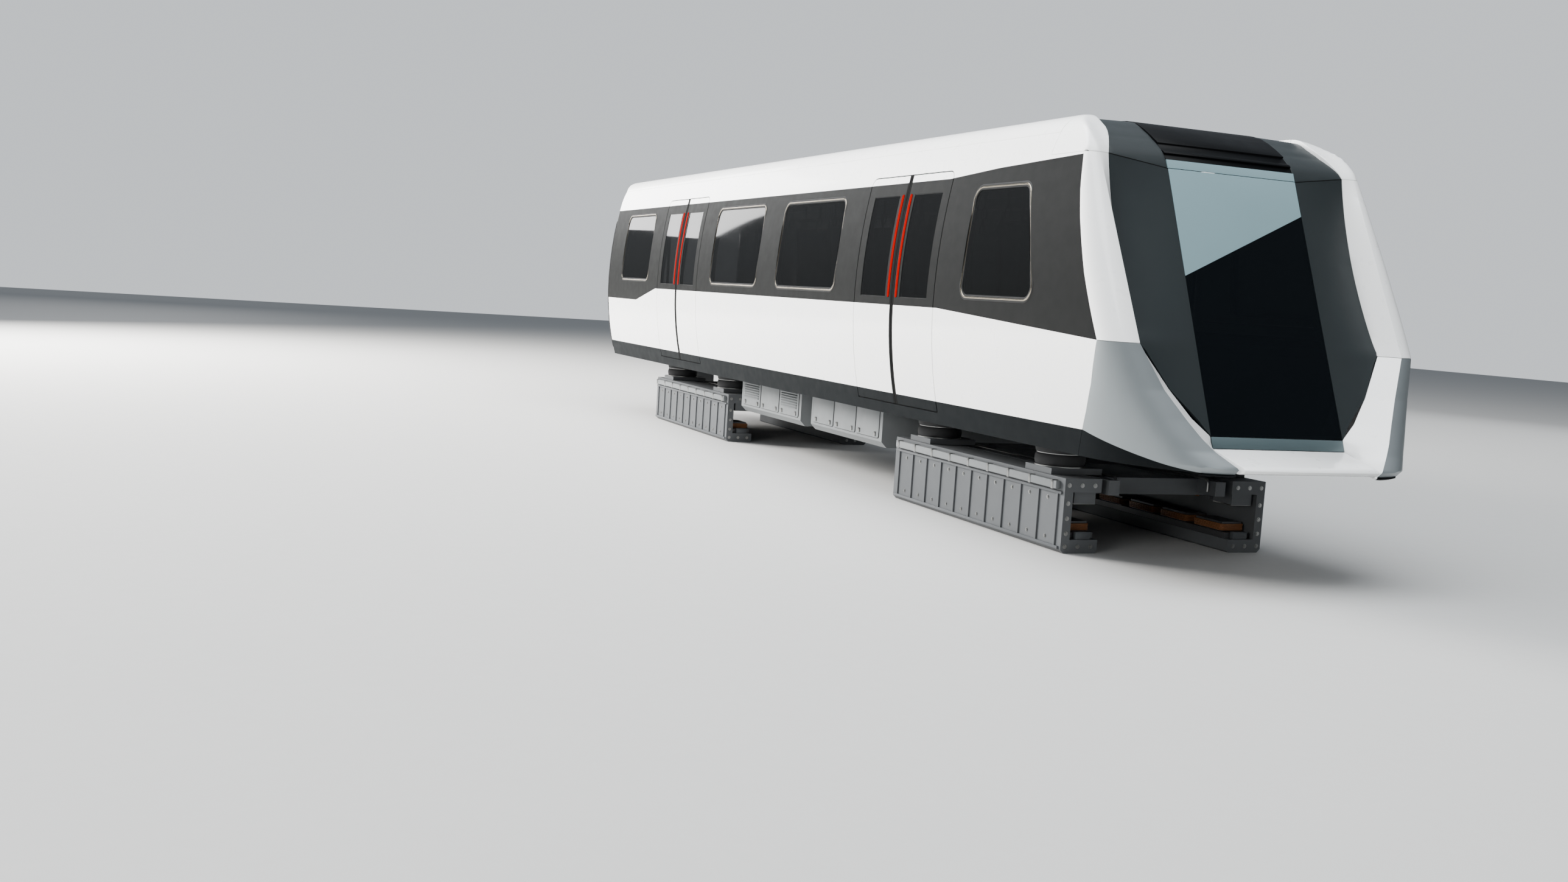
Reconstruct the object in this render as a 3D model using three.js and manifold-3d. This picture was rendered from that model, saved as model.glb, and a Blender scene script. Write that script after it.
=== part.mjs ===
// End car of a magnetic levitation train: hollow body with windows and plug doors, sloped nose,
// gangway bellows and two levitation chassis. Millimetres, +X to the nose, +Z up, floor at z = 0.
import * as THREE from 'three';
import { mergeVertices } from 'three/addons/utils/BufferGeometryUtils.js';
import Module from 'manifold-3d';

const wasm = await Module();
wasm.setup();

// Driving dimensions. Heights named here are above the skirt's lower edge, which is SKIRT over the floor.
const SKIRT = 850;
const HALF_WIDTH = 1425;
const WIDEST = 1050;
const LOWER_CURVE = 0.136e-3;
const UPPER_CURVE = 0.0945e-3;
const DOOR_TOP = 2200;
const CANTRAIL = 2430;
const CROWN = 2620;
const CEILING = 2300;
const FASCIA_LEAN = 80;
const SHOULDER = { radius: 280, from: 0.447, to: 1.508, steps: 4 };
const WALL = 70;
const SEAT_GAP = 0.3;
const REAR = -6700;
const ROOF_TAIL = { lean: 120, low: 2440, high: 2540 };

// Windows: each row gives the rear edge, the front edge at the sill and the front edge at the head.
const WINDOW_SILL = 1115;
const WINDOW_HEAD = 2045;
const WINDOW_RADIUS = 110;
const windows = [
  { name: 'front', rear: 4250, frontSill: 5430, frontHead: 5120 },
  { name: 'centre_front', rear: 35, frontSill: 1650, frontHead: 1650 },
  { name: 'centre_rear', rear: -2135, frontSill: -540, frontHead: -540 },
  { name: 'rear', rear: -6045, frontSill: -4715, frontHead: -4715 },
];

// Doors: the x of each middle seam, and the sizes that all leaves share.
const doors = [
  { name: 'front', seam: 2970 },
  { name: 'rear', seam: -3440 },
];
const DOOR_HALF = 815;
const DOOR_BOTTOM = 114;
const DOOR_SEAL = 6;
const DOOR_THICK = 45;
const DOOR_STOP = 25;
const DOOR_GLASS = { inner: 150, outer: 682, sill: 1090, head: 2021 };
const PANE = 12;

// Nose: planes of the mask and of the proud arch, both sloping forward towards the rails.
const MASK_TOP = { x: 5850, z: 2180, slope: 0.408 };
const ARCH_TOP = { x: 5825, z: 2250, slope: 0.512 };
const CORNER = 200;
const SCREEN_HALF = 600;
const RIM_HALF = 1105;
const RIDGE_HALF = 1200;
const RIM_TOP = 5800;
const RIM_LEAN = 0.19;
const RIM_SWEEP = 0.165e-3;
const SCREEN_SILL = 232;
const CHEEK_TOP = 868;
const STRIP_BOTTOM = 146;
const MASK_THICK = 40;
const BROW_REAR = 5300;
const ARCH_HEAD = 2250;
const VISOR = { rear: 5500, foot: 2180 };

// Saloon floor and rear end.
const FLOOR_LOW = 20;
const FLOOR_TOP = 150;
const FLOOR_FRONT = 5950;
const GANGWAY = { half: 620, head: 2080 };
const BELLOWS = { depth: 350, inset: 75, wall: 60, head: 2160, folds: 7 };

// Levitation chassis.
const CHASSIS_X = 3900;
const CHASSIS_LONG = 3000;
const AIR_SPRING = { radius: 190, y: 760, x: 1050 };
const MODULE = { inner: 640, outer: 980, top: 600, low: 0, arm: 110, web: 80 };
const FRAME = { beam: 470, beamWide: 100, low: 470, high: 590, crossWide: 110, pivot: 160 };
const MAGNETS = { near: 650, far: 890, poleNear: 670, poleFar: 870, base: 50, high: 130, count: 6 };
const MOTOR = { near: 665, far: 875, deep: 85, slots: 9, slotHalf: 18 };
const SKID = { near: 670, far: 870, half: 120, deep: 95, fromEnd: 150 };

// Drawbar of the permanent coupling and its bracket.
const DRAWBAR = { pivot: -6350, tip: REAR - 330, z: 560, pin: 30, bore: 31 };
const BRACKET = { rear: 110, front: 200, half: 140, plate: 35, opening: 60 };

// Saloon furniture: seats along the walls, poles at the doors, desk behind the windscreen.
const SEATS = { front: 780, back: 1300, low: 540, high: 620, shoulder: 1050, thick: 60 };
const seatBays = [[-2450, -1400], [-1300, -250], [250, 1300], [1400, 1950]];
const seatLegs = [-2300, -300, 300, 1800];
const POLES = { radius: 18, y: 700, head: 2100 };
const poleRow = [-4400, -2500, 1990, 3950];
const CONSOLE = { rear: 5720, foot: 5940, front: 6230, low: 820, nose: 900, top: 960, half: 980 };

const colours = {
  white: [0xf2f1ef, 0.3, 0.1], dark: [0x4a4b4a, 0.5, 0.3], silver: [0xa9b0b2, 0.35, 0.5],
  glass: [0x14181b, 0.08, 0.0], black: [0x161718, 0.6, 0.0], steel: [0x6d7276, 0.45, 0.7],
  rubber: [0x222222, 0.85, 0.0], copper: [0x8a5a35, 0.5, 0.6], floor: [0x5a5f63, 0.8, 0.0],
  seat: [0x34506b, 0.9, 0.0],
};

const root = new THREE.Group();

function solidOf(geometry) {
  const bare = geometry.clone();
  bare.deleteAttribute('normal');
  bare.deleteAttribute('uv');
  const merged = mergeVertices(bare, 1e-3);
  return new wasm.Manifold(new wasm.Mesh({
    numProp: 3,
    vertProperties: new Float32Array(merged.attributes.position.array),
    triVerts: new Uint32Array(merged.index.array),
  }));
}

function geometryOf(solid) {
  const mesh = solid.getMesh();
  const geometry = new THREE.BufferGeometry();
  geometry.setAttribute('position', new THREE.BufferAttribute(mesh.vertProperties, 3));
  geometry.setIndex(new THREE.BufferAttribute(mesh.triVerts, 1));
  return geometry;
}

// Adds one named piece to a group, in that group's own frame.
function addPiece(name, solid, colour, group = root) {
  const [hex, roughness, metalness] = colours[colour];
  const material = new THREE.MeshStandardMaterial({ color: hex, roughness, metalness });
  const mesh = new THREE.Mesh(geometryOf(solid), material);
  mesh.name = name;
  group.add(mesh);
  return mesh;
}

function extruded(points, depth, holes = []) {
  const shape = new THREE.Shape(points.map(([a, b]) => new THREE.Vector2(a, b)));
  holes.forEach((hole) => shape.holes.push(new THREE.Path(hole.map(([a, b]) => new THREE.Vector2(a, b)))));
  return new THREE.ExtrudeGeometry(shape, { depth, bevelEnabled: false });
}

const X = new THREE.Vector3(1, 0, 0);
const Y = new THREE.Vector3(0, 1, 0);
const Z = new THREE.Vector3(0, 0, 1);

// A (y, z) outline swept along x from one place to another.
function alongX(points, from, to) {
  const geometry = extruded(points, to - from);
  geometry.applyMatrix4(new THREE.Matrix4().makeBasis(Y, Z, X));
  geometry.translate(from, 0, 0);
  return solidOf(geometry);
}

// An (x, z) outline swept across the car from one y to another.
function acrossY(points, from, to) {
  const geometry = extruded(points, to - from);
  geometry.applyMatrix4(new THREE.Matrix4().makeBasis(X, Z, Y.clone().negate()));
  geometry.translate(0, to, 0);
  return solidOf(geometry);
}

// An (x, y) outline raised from one height to another, leaning back by slope for each millimetre.
function raised(points, from, to, slope = 0) {
  const geometry = extruded(points, to - from);
  const shear = new THREE.Matrix4().set(1, 0, -slope, 0, 0, 1, 0, 0, 0, 0, 1, 0, 0, 0, 0, 1);
  geometry.applyMatrix4(shear);
  geometry.translate(0, 0, from);
  return solidOf(geometry);
}

function box(x0, x1, y0, y1, z0, z1) {
  return alongX([[y0, z0], [y1, z0], [y1, z1], [y0, z1]], x0, x1);
}

function cylinderZ(radius, x, y, z0, z1, sides = 20) {
  const geometry = new THREE.CylinderGeometry(radius, radius, z1 - z0, sides);
  geometry.rotateX(Math.PI / 2);
  geometry.translate(x, y, (z0 + z1) / 2);
  return solidOf(geometry);
}

const mirrored = (solid) => solid.mirror([0, 1, 0]);
const joined = (solids) => solids.reduce((all, one) => all.add(one));
const steps = (from, to, count) => Array.from({ length: count + 1 }, (_, i) => from + ((to - from) * i) / count);

// Half the body's width at a height over the skirt's edge.
function halfAt(z) {
  const rise = z - WIDEST;
  return HALF_WIDTH - (rise < 0 ? LOWER_CURVE : UPPER_CURVE) * rise * rise;
}

const lowerLevels = steps(0, DOOR_TOP, 9);
// Side of the body from skirt to cantrail, pulled in by inset, as (y, z) points going up.
function sideCurve(inset) {
  const points = lowerLevels.map((z) => [halfAt(z) - inset, z]);
  points.push([halfAt(DOOR_TOP) - FASCIA_LEAN - inset, CANTRAIL]);
  return points;
}

// First value of the (value, height) rows at a height, with straight lines between the rows.
function valueAt(rows, z) {
  const upper = Math.max(1, rows.findIndex(([, level]) => level >= z));
  const [v0, z0] = rows[upper - 1];
  const [v1, z1] = rows[upper];
  return v0 + ((v1 - v0) * (z - z0)) / (z1 - z0);
}

const sideAt = (z) => valueAt(sideCurve(0), z);

// Roof from cantrail to crown, as (y, z) points: a round shoulder, then the nearly flat crown.
function roofCurve(inset) {
  const edge = halfAt(DOOR_TOP) - FASCIA_LEAN - inset;
  const radius = SHOULDER.radius - inset;
  const { from, to, steps: count } = SHOULDER;
  const centre = [edge - radius * Math.cos(from), CANTRAIL - radius * Math.sin(from)];
  const shoulder = steps(from, to, count).map((turn) => [
    centre[0] + radius * Math.cos(turn), centre[1] + radius * Math.sin(turn),
  ]);
  return [...shoulder, [0, CROWN - inset]];
}

const lifted = (points) => points.map(([a, b]) => [a, b + SKIRT]);
const liftedBox = (x0, x1, y0, y1, z0, z1) => box(x0, x1, y0, y1, z0 + SKIRT, z1 + SKIRT);

// Left side skin between two depths below the outer surface.
function sideSkin(outer, inner, from, to) {
  return alongX(lifted([...sideCurve(outer), ...sideCurve(inner).reverse()]), from, to);
}

// Whole body outline between the left and right sides, pulled in by inset.
function hullSection(inset, from, to, low = 0) {
  const side = sideCurve(inset).filter(([, z]) => z > low + 1);
  const left = [[sideAt(low) - inset, low], ...side, ...roofCurve(inset).slice(1)];
  const right = left.slice(0, -1).reverse().map(([y, z]) => [-y, z]);
  return alongX(lifted([...left, ...right]), from, to);
}

// A window outline with rounded corners, grown by grow, in (x, z).
function windowOutline(w, grow) {
  const corners = [
    [w.rear - grow, WINDOW_SILL - grow], [w.frontSill + grow, WINDOW_SILL - grow],
    [w.frontHead + grow, WINDOW_HEAD + grow], [w.rear - grow, WINDOW_HEAD + grow],
  ];
  return lifted(roundedOutline(corners, WINDOW_RADIUS + grow, 4));
}

// Rounds each corner of a convex outline that runs anticlockwise.
function roundedOutline(corners, radius, perCorner) {
  const points = [];
  corners.forEach((corner, i) => {
    const at = new THREE.Vector2(...corner);
    const before = new THREE.Vector2(...corners[(i + corners.length - 1) % corners.length]).sub(at).normalize();
    const after = new THREE.Vector2(...corners[(i + 1) % corners.length]).sub(at).normalize();
    const half = Math.acos(before.dot(after)) / 2;
    const start = at.clone().addScaledVector(before, radius / Math.tan(half));
    const middle = before.clone().add(after).normalize();
    const centre = at.clone().addScaledVector(middle, radius / Math.sin(half));
    const first = start.sub(centre);
    const sweep = Math.PI - 2 * half;
    steps(0, sweep, perCorner).forEach((turn) => {
      const p = first.clone().rotateAround(new THREE.Vector2(0, 0), turn).add(centre);
      points.push([p.x, p.y]);
    });
  });
  return points;
}

function rectangle(x0, x1, z0, z1) {
  return lifted([[x0, z0], [x1, z0], [x1, z1], [x0, z1]]);
}

const SIDE_REACH = 1500;
const throughLeft = (outline) => acrossY(outline, 800, SIDE_REACH);

// Cheek levels: height, seam with the side wall, front rim, and edge beside mask, strip and chin.
const cheekLevels = [
  { z: 0, seam: 5990, rimX: 6990, rimY: 640, edgeX: 6560, edgeY: 605 },
  { z: 40, seam: 6010, rimX: 7010, rimY: 640, edgeX: 6560, edgeY: 605 },
  { z: 146, seam: 6066, rimX: 6910, rimY: 770, edgeX: 6670, edgeY: 605 },
  { z: 232, seam: 6108, rimX: 6850, rimY: 845, edgeX: 6640, edgeY: 605 },
  { z: 350, seam: 6170, rimX: 6775, rimY: 925, edgeX: 6592, edgeY: 742 },
  { z: 550, seam: 6252, rimX: 6660, rimY: 1050, edgeX: 6510, edgeY: 902 },
  { z: CHEEK_TOP, seam: 6322, rimX: 6532, rimY: 1200, edgeX: 6380, edgeY: RIM_HALF },
];

// The side wall's front edge: cheek seam below, slanting arch line above.
const archRear = [[6322, CHEEK_TOP], [6081, 1346], [5908, 1756], [5831, 1965], [5765, 2200], [5745, ARCH_HEAD]];
const archLevels = [CHEEK_TOP, 1100, 1346, 1550, 1756, 1965, 2200, ARCH_HEAD];
const wallFront = [...cheekLevels.slice(0, -1).map(({ seam, z }) => [seam, z]), ...archRear];

function sideWall() {
  const outline = lifted([
    [REAR, 0], ...wallFront, [BROW_REAR, ARCH_HEAD], [BROW_REAR, CANTRAIL], [REAR, CANTRAIL],
  ]);
  let wall = sideSkin(0, WALL, REAR, 6500).intersect(throughLeft(outline));
  windows.forEach((w) => {
    wall = wall.subtract(throughLeft(windowOutline(w, 0)));
  });
  doors.forEach(({ seam }) => {
    const hole = (grow) => throughLeft(rectangle(
      seam - DOOR_HALF - grow, seam + DOOR_HALF + grow, DOOR_BOTTOM - grow, DOOR_TOP + grow,
    ));
    wall = wall.subtract(hole(-DOOR_STOP));
    wall = wall.subtract(sideSkin(-30, DOOR_THICK + SEAT_GAP, REAR, 6500).intersect(hole(DOOR_SEAL)));
  });
  return wall;
}

function windowPane(w) {
  return sideSkin(8, 8 + PANE, REAR, 6500).intersect(throughLeft(windowOutline(w, -SEAT_GAP)));
}

// One door leaf with its window cut, and the pane in it. side is 1 for the leaf ahead of the seam.
function doorLeaf(seam, side) {
  const place = (near, far, z0, z1) => {
    const [a, b] = side > 0 ? [seam + near, seam + far] : [seam - far, seam - near];
    return throughLeft(rectangle(a, b, z0, z1));
  };
  const { inner, outer, sill, head } = DOOR_GLASS;
  const leaf = sideSkin(0, DOOR_THICK, REAR, 6500)
    .intersect(place(DOOR_SEAL, DOOR_HALF, DOOR_BOTTOM, DOOR_TOP))
    .subtract(place(inner, outer, sill, head));
  const gap = SEAT_GAP;
  const pane = sideSkin(3, 3 + PANE, REAR, 6500).intersect(place(inner + gap, outer - gap, sill + gap, head - gap));
  return { leaf, pane };
}

// Outline of the nose in plan with rounded front corners, for a front face at x and a half width.
function nosePlan(front, half, radius) {
  const left = [[4800, half], ...cornerArc(front - radius, half, front, half - radius)];
  return [...left, ...left.slice().reverse().map(([x, y]) => [x, -y])].reverse();
}

// Upper nose block behind a sloping front face.
function noseBlock(plane, back, radius, inset) {
  const top = SKIRT + CROWN + 80;
  const atSkirt = plane.x + plane.slope * plane.z - back;
  return raised(nosePlan(atSkirt, HALF_WIDTH + 20 - inset, radius), SKIRT, top, plane.slope);
}

// Side view of the roof's rounded front, pulled back by inset, closed down to the skirt.
function browProfile(inset) {
  const brow = [[5150, 2625], [5350, 2592], [5505, 2525], [5600, 2463], [5690, 2390], [5773, 2305], [5850, 2165]];
  const points = brow.map(([x, z]) => [x - inset * 0.7, z - inset * 0.7]);
  return lifted([
    [4900, -10], [7300, -10], [7300, 600], [6700 - inset, 200], ...points.reverse(), [4900, CROWN + 10 - inset],
  ]);
}

// Nose behind the windscreen's plane, set back by back and pulled in at the sides by inset.
const noseOuter = (back, inset) => hullSection(inset, 4950, 6900)
  .intersect(noseBlock(MASK_TOP, back, CORNER, inset))
  .intersect(acrossY(browProfile(inset + back), -1500, 1500));

const screenAt = (z) => MASK_TOP.x + MASK_TOP.slope * (MASK_TOP.z - z);
const ridgeAt = (z) => ARCH_TOP.x + ARCH_TOP.slope * (ARCH_TOP.z - z);

// Recessed rim where the mask meets the arch: it sweeps forward towards the foot.
function rimAt(z) {
  const drop = ARCH_TOP.z - z;
  return RIM_TOP + RIM_LEAN * drop + RIM_SWEEP * drop * drop;
}

// Rounded corner in plan, from the body's side to a ridge at the front.
function cornerArc(seam, half, ridgeX, ridgeY) {
  return steps(0, Math.PI / 2, 5).map((a) => [
    seam + (ridgeX - seam) * Math.sin(a), ridgeY + (half - ridgeY) * Math.cos(a),
  ]);
}

function archPost() {
  const rows = archLevels.map((z) => {
    const seam = valueAt(archRear, z) + SEAT_GAP;
    const half = sideAt(z);
    const rim = rimAt(z);
    const inner = RIM_HALF + SEAT_GAP;
    const level = z === ARCH_HEAD ? z - SEAT_GAP : z;
    const outline = [
      ...cornerArc(seam, half, ridgeAt(z), RIDGE_HALF), [rim, inner], [rim - 60, inner], [seam, half - WALL],
    ];
    return outline.reverse().map(([x, y]) => [x, y, level + SKIRT]);
  });
  return lofted(rows);
}

// Mask side panel: each row gives its height at the screen, its height at the rim and its outer edge.
function maskPanel() {
  const low = [[SCREEN_SILL, 605], [350, 742], [550, 902]].map(([z, y]) => [z, z, screenAt(z), y]);
  const high = archLevels.slice(0, -1).map((z) => [z + SEAT_GAP, z + SEAT_GAP, rimAt(z), RIM_HALF]);
  const top = [VISOR.foot, ARCH_HEAD, rimAt(ARCH_HEAD), RIM_HALF];
  const rows = [...low, ...high.filter(([z]) => z < VISOR.foot), top].map(([zIn, zOut, x, y]) => {
    const outer = y - SEAT_GAP;
    const inner = screenAt(zIn);
    return [
      [inner, SCREEN_HALF, zIn + SKIRT], [inner - MASK_THICK, SCREEN_HALF, zIn + SKIRT],
      [x - MASK_THICK, outer, zOut + SKIRT], [x, outer, zOut + SKIRT],
    ].reverse();
  });
  return lofted(rows);
}

function frontPieces() {
  const gap = SEAT_GAP;
  const shell = noseOuter(0, 0).subtract(noseOuter(MASK_THICK, WALL));
  const front = (points) => alongX(lifted(points), 5150, 6900);
  const foot = VISOR.foot;
  const half = SCREEN_HALF - gap;
  const screenOutline = [[-half, SCREEN_SILL], [half, SCREEN_SILL], [half, foot], [-half, foot]];
  const screen = shell.intersect(front(screenOutline));
  const rim = RIM_HALF - gap;
  const above = front([
    [-rim, ARCH_HEAD + gap], [-SCREEN_HALF, foot + gap], [SCREEN_HALF, foot + gap],
    [rim, ARCH_HEAD + gap], [rim, CROWN + 60], [-rim, CROWN + 60],
  ]);
  const brow = shell.intersect(above).intersect(liftedBox(BROW_REAR + gap, 6500, -1500, 1500, 2100, 2800));
  const visorHalf = SCREEN_HALF;
  const visorBox = (grow) => liftedBox(VISOR.rear - grow, 6500, -visorHalf - grow, visorHalf + grow, 2100, 2800);
  const visor = shell.intersect(above).intersect(visorBox(0));
  const horn = shell.intersect(
    liftedBox(BROW_REAR + gap, 6500, RIM_HALF, 1500, ARCH_HEAD + gap, 2800)
      .add(liftedBox(BROW_REAR - 5, 6500, RIM_HALF, 1500, CANTRAIL + 1, 2800)),
  );
  return { screen, brow: brow.subtract(visorBox(gap)), visor, horn };
}

// Joins outlines of equal length, one above another, into a closed solid.
function lofted(sections) {
  const count = sections[0].length;
  const position = sections.flat().flatMap((p) => p);
  const index = [];
  for (let s = 0; s < sections.length - 1; s += 1) {
    for (let i = 0; i < count; i += 1) {
      const a = s * count + i;
      const b = s * count + ((i + 1) % count);
      index.push(a, b, b + count, a, b + count, a + count);
    }
  }
  const cap = (section, base, turn) => {
    const flat = section.map(([x, y]) => new THREE.Vector2(x, y));
    THREE.ShapeUtils.triangulateShape(flat, []).forEach(([a, b, c]) => {
      index.push(...(turn ? [base + c, base + b, base + a] : [base + a, base + b, base + c]));
    });
  };
  cap(sections[0], 0, true);
  cap(sections[sections.length - 1], (sections.length - 1) * count, false);
  const geometry = new THREE.BufferGeometry();
  geometry.setAttribute('position', new THREE.Float32BufferAttribute(position, 3));
  geometry.setIndex(index);
  return solidOf(geometry);
}

function cheek() {
  const sections = cheekLevels.map((level) => {
    const half = sideAt(level.z);
    const outline = [
      ...cornerArc(level.seam + SEAT_GAP, half, level.rimX, level.rimY), [level.edgeX, level.edgeY],
      [level.edgeX - 60, level.edgeY], [level.seam + SEAT_GAP, half - WALL],
    ];
    return outline.reverse().map(([x, y]) => [x, y, level.z + SKIRT - (level.z === CHEEK_TOP ? SEAT_GAP : 0)]);
  });
  return lofted(sections);
}

function chin() {
  const profile = lifted([[6540, 0], [6990, 0], [7050, 35], [7000, 60], [6670, STRIP_BOTTOM], [6540, STRIP_BOTTOM]]);
  const half = 605 - SEAT_GAP;
  return acrossY(profile, -half, half);
}

function sillStrip() {
  const lean = MASK_TOP.slope * (SCREEN_SILL - STRIP_BOTTOM);
  const low = MASK_TOP.x + MASK_TOP.slope * (MASK_TOP.z - STRIP_BOTTOM);
  const gap = SEAT_GAP;
  const profile = lifted([
    [low - 80, STRIP_BOTTOM + gap], [low, STRIP_BOTTOM + gap],
    [low - lean, SCREEN_SILL - gap], [low - lean - 80, SCREEN_SILL - gap],
  ]);
  return acrossY(profile, -SCREEN_HALF, SCREEN_HALF);
}

// A (y, z) half outline, listed from the side to the middle, completed by its mirror image.
const bothHalves = (left) => lifted([...left, ...left.slice(0, -1).reverse().map(([y, z]) => [-y, z])]);

// Roof down to the saloon ceiling, which drops between the side walls. Its rear end leans back.
function roofPanel() {
  const eave = CANTRAIL + SEAT_GAP;
  const [[edge], ...outer] = roofCurve(0);
  const inner = sideAt(CEILING) - WALL - 60;
  const shell = [[inner, eave], [edge, eave], ...outer];
  const saloon = alongX(bothHalves([[inner, CEILING], ...shell]), REAR + WALL + SEAT_GAP, BROW_REAR);
  const { lean, low, high } = ROOF_TAIL;
  const join = REAR + WALL + 1;
  const tail = lifted([[REAR - lean, high], [REAR, low], [join, low - 20], [join, 2700], [REAR - lean, 2700]]);
  return saloon.add(alongX(bothHalves(shell), REAR - lean, join).intersect(acrossY(tail, -1500, 1500)));
}

function floorSlab() {
  const gap = SEAT_GAP;
  const half = [[sideAt(FLOOR_LOW) - WALL - gap, FLOOR_LOW], [sideAt(FLOOR_TOP) - WALL - gap, FLOOR_TOP]];
  const outline = [...half, ...half.slice().reverse().map(([y, z]) => [-y, z])];
  const tongue = liftedBox(FLOOR_FRONT - 10, 6540 - gap, -595, 595, FLOOR_LOW, FLOOR_TOP - 10);
  return alongX(lifted(outline), REAR, FLOOR_FRONT).add(tongue);
}

function rearWall() {
  const wall = hullSection(WALL + SEAT_GAP, REAR, REAR + WALL, FLOOR_TOP + SEAT_GAP);
  const passage = liftedBox(REAR - 10, REAR + 200, -GANGWAY.half, GANGWAY.half, 0, GANGWAY.head);
  return wall.subtract(passage).subtract(liftedBox(REAR - 10, REAR + 200, -1500, 1500, CANTRAIL, 2700));
}

// Ribbed ring of the gangway, from the rear wall back to the next car's face.
function bellows() {
  const ring = (inset) => {
    const top = BELLOWS.head - inset;
    const side = steps(inset * 0.8, top - 120, 8).map((z) => [halfAt(z) - inset, z]);
    const left = [...side, [halfAt(top) - inset - 90, top]];
    return lifted([...left, ...left.slice().reverse().map(([y, z]) => [-y, z])]);
  };
  const pitch = (BELLOWS.depth - SEAT_GAP) / BELLOWS.folds;
  const start = REAR - BELLOWS.depth;
  let shell = alongX(ring(BELLOWS.inset + 25), start, REAR - SEAT_GAP);
  for (let i = 0; i < BELLOWS.folds; i += 1) {
    shell = shell.add(alongX(ring(BELLOWS.inset), start + pitch * (i + 0.15), start + pitch * (i + 0.7)));
  }
  return shell.subtract(alongX(ring(BELLOWS.inset + BELLOWS.wall + 25), start - 5, REAR + 5));
}

// Seats along one side, on one wall-mounted beam.
function seatRow() {
  const { front, back, low, high, shoulder, thick } = SEATS;
  const beam = liftedBox(seatBays[0][0] - 50, seatBays[3][1], back - 150, back, low - 60, low);
  const seats = seatBays.map(([a, b]) => liftedBox(a, b, front, back, low, high)
    .add(liftedBox(a, b, back - thick, back, high - 20, shoulder)));
  const legs = seatLegs.map((x) => liftedBox(x - 30, x + 30, back - 180, back - 120, FLOOR_TOP + SEAT_GAP, low - 40));
  return joined([beam, ...seats, ...legs]);
}

// Upright grab poles at the doors with one rail under the ceiling.
function grabPoles() {
  const { radius, y, head } = POLES;
  const floor = SKIRT + FLOOR_TOP + SEAT_GAP;
  const poles = poleRow.map((x) => cylinderZ(radius, x, y, floor, SKIRT + head, 10));
  const rail = liftedBox(poleRow[0] - 100, poleRow[3] + 100, y - radius, y + radius, head - 20, head + 15);
  const hangers = [-3400, 0, 3000].map((x) => liftedBox(x - 20, x + 20, y - 15, y + 15, head, CEILING - SEAT_GAP));
  return joined([rail, ...poles, ...hangers]);
}

// Desk behind the windscreen.
function frontConsole() {
  const base = FLOOR_TOP + SEAT_GAP;
  const { rear, foot, front, low, nose, top, half } = CONSOLE;
  return acrossY(lifted([[rear, base], [foot, base], [front, low], [front, nose], [rear, top]]), -half, half);
}

// Boxes under the floor between the chassis, each row with its place along the car.
const equipment = [
  { name: 'converter_box', x0: -2000, x1: -100, half: 950, drop: 430 },
  { name: 'battery_and_air_box', x0: 200, x1: 2000, half: 950, drop: 430 },
];

function underfloorBox({ x0, x1, half, drop }) {
  const chamfer = 60;
  const top = FLOOR_LOW - SEAT_GAP;
  const outline = lifted([
    [-half, top], [-half, top - drop + chamfer], [-half + chamfer, top - drop],
    [half - chamfer, top - drop], [half, top - drop + chamfer], [half, top],
  ]);
  return alongX(outline, x0, x1);
}

// Chassis frame in its own frame: x = 0 at the pivot, z = 0 at the floor.
function chassisFrame() {
  const long = CHASSIS_LONG / 2;
  const springTop = SKIRT + FLOOR_LOW - SEAT_GAP;
  const seat = MODULE.top + SEAT_GAP;
  const inner = MODULE.inner - SEAT_GAP;
  const { beam, beamWide, low, high, crossWide, pivot } = FRAME;
  const beams = [beam, -beam - beamWide].map((y) => box(-long, long, y, y + beamWide, low, high));
  const cross = [-1150, 0, 1150].map((x) => box(x - crossWide, x + crossWide, -inner, inner, low - 20, high - 5));
  const bolster = cylinderZ(pivot, 0, 0, low + 30, springTop, 20);
  const pads = [];
  [1, -1].forEach((sx) => [1, -1].forEach((sy) => {
    const x = sx * AIR_SPRING.x;
    const near = Math.min(sy * (beam + 10), sy * MODULE.outer - sy * 20);
    const stand = Math.min(sy * (beam + 10), sy * (beam + 90));
    pads.push(box(x - 200, x + 200, near, near + 480, seat, seat + 50));
    pads.push(box(x - 100, x + 100, stand, stand + 80, high - 30, seat + 20));
    pads.push(cylinderZ(AIR_SPRING.radius, x, sy * AIR_SPRING.y, seat + 40, springTop, 20));
  }));
  return joined([...beams, ...cross, bolster, ...pads]);
}

// Side module: a channel open inwards that reaches under the guideway's rail.
function sideModule() {
  const long = CHASSIS_LONG / 2;
  const { inner, outer, top, low, arm, web } = MODULE;
  const outline = [
    [inner, low + 15], [inner + 20, low], [outer - 30, low], [outer, low + 30], [outer, top], [inner, top],
    [inner, top - arm], [outer - web, top - arm], [outer - web, low + arm], [inner, low + arm],
  ];
  return alongX(outline, -long, long);
}

// Levitation magnet: poles in a row, facing up, on the lower arm.
function magnetRow() {
  const long = CHASSIS_LONG / 2 - 60;
  const { near, far, poleNear, poleFar, base, high, count } = MAGNETS;
  const foot = MODULE.arm + SEAT_GAP;
  const pitch = (2 * long) / count;
  const poles = steps(-long + pitch / 2, long - pitch / 2, count - 1)
    .map((x) => box(x - pitch * 0.36, x + pitch * 0.36, poleNear, poleFar, foot + 40, MODULE.arm + high));
  return joined([box(-long, long, near, far, foot, MODULE.arm + base), ...poles]);
}

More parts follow.
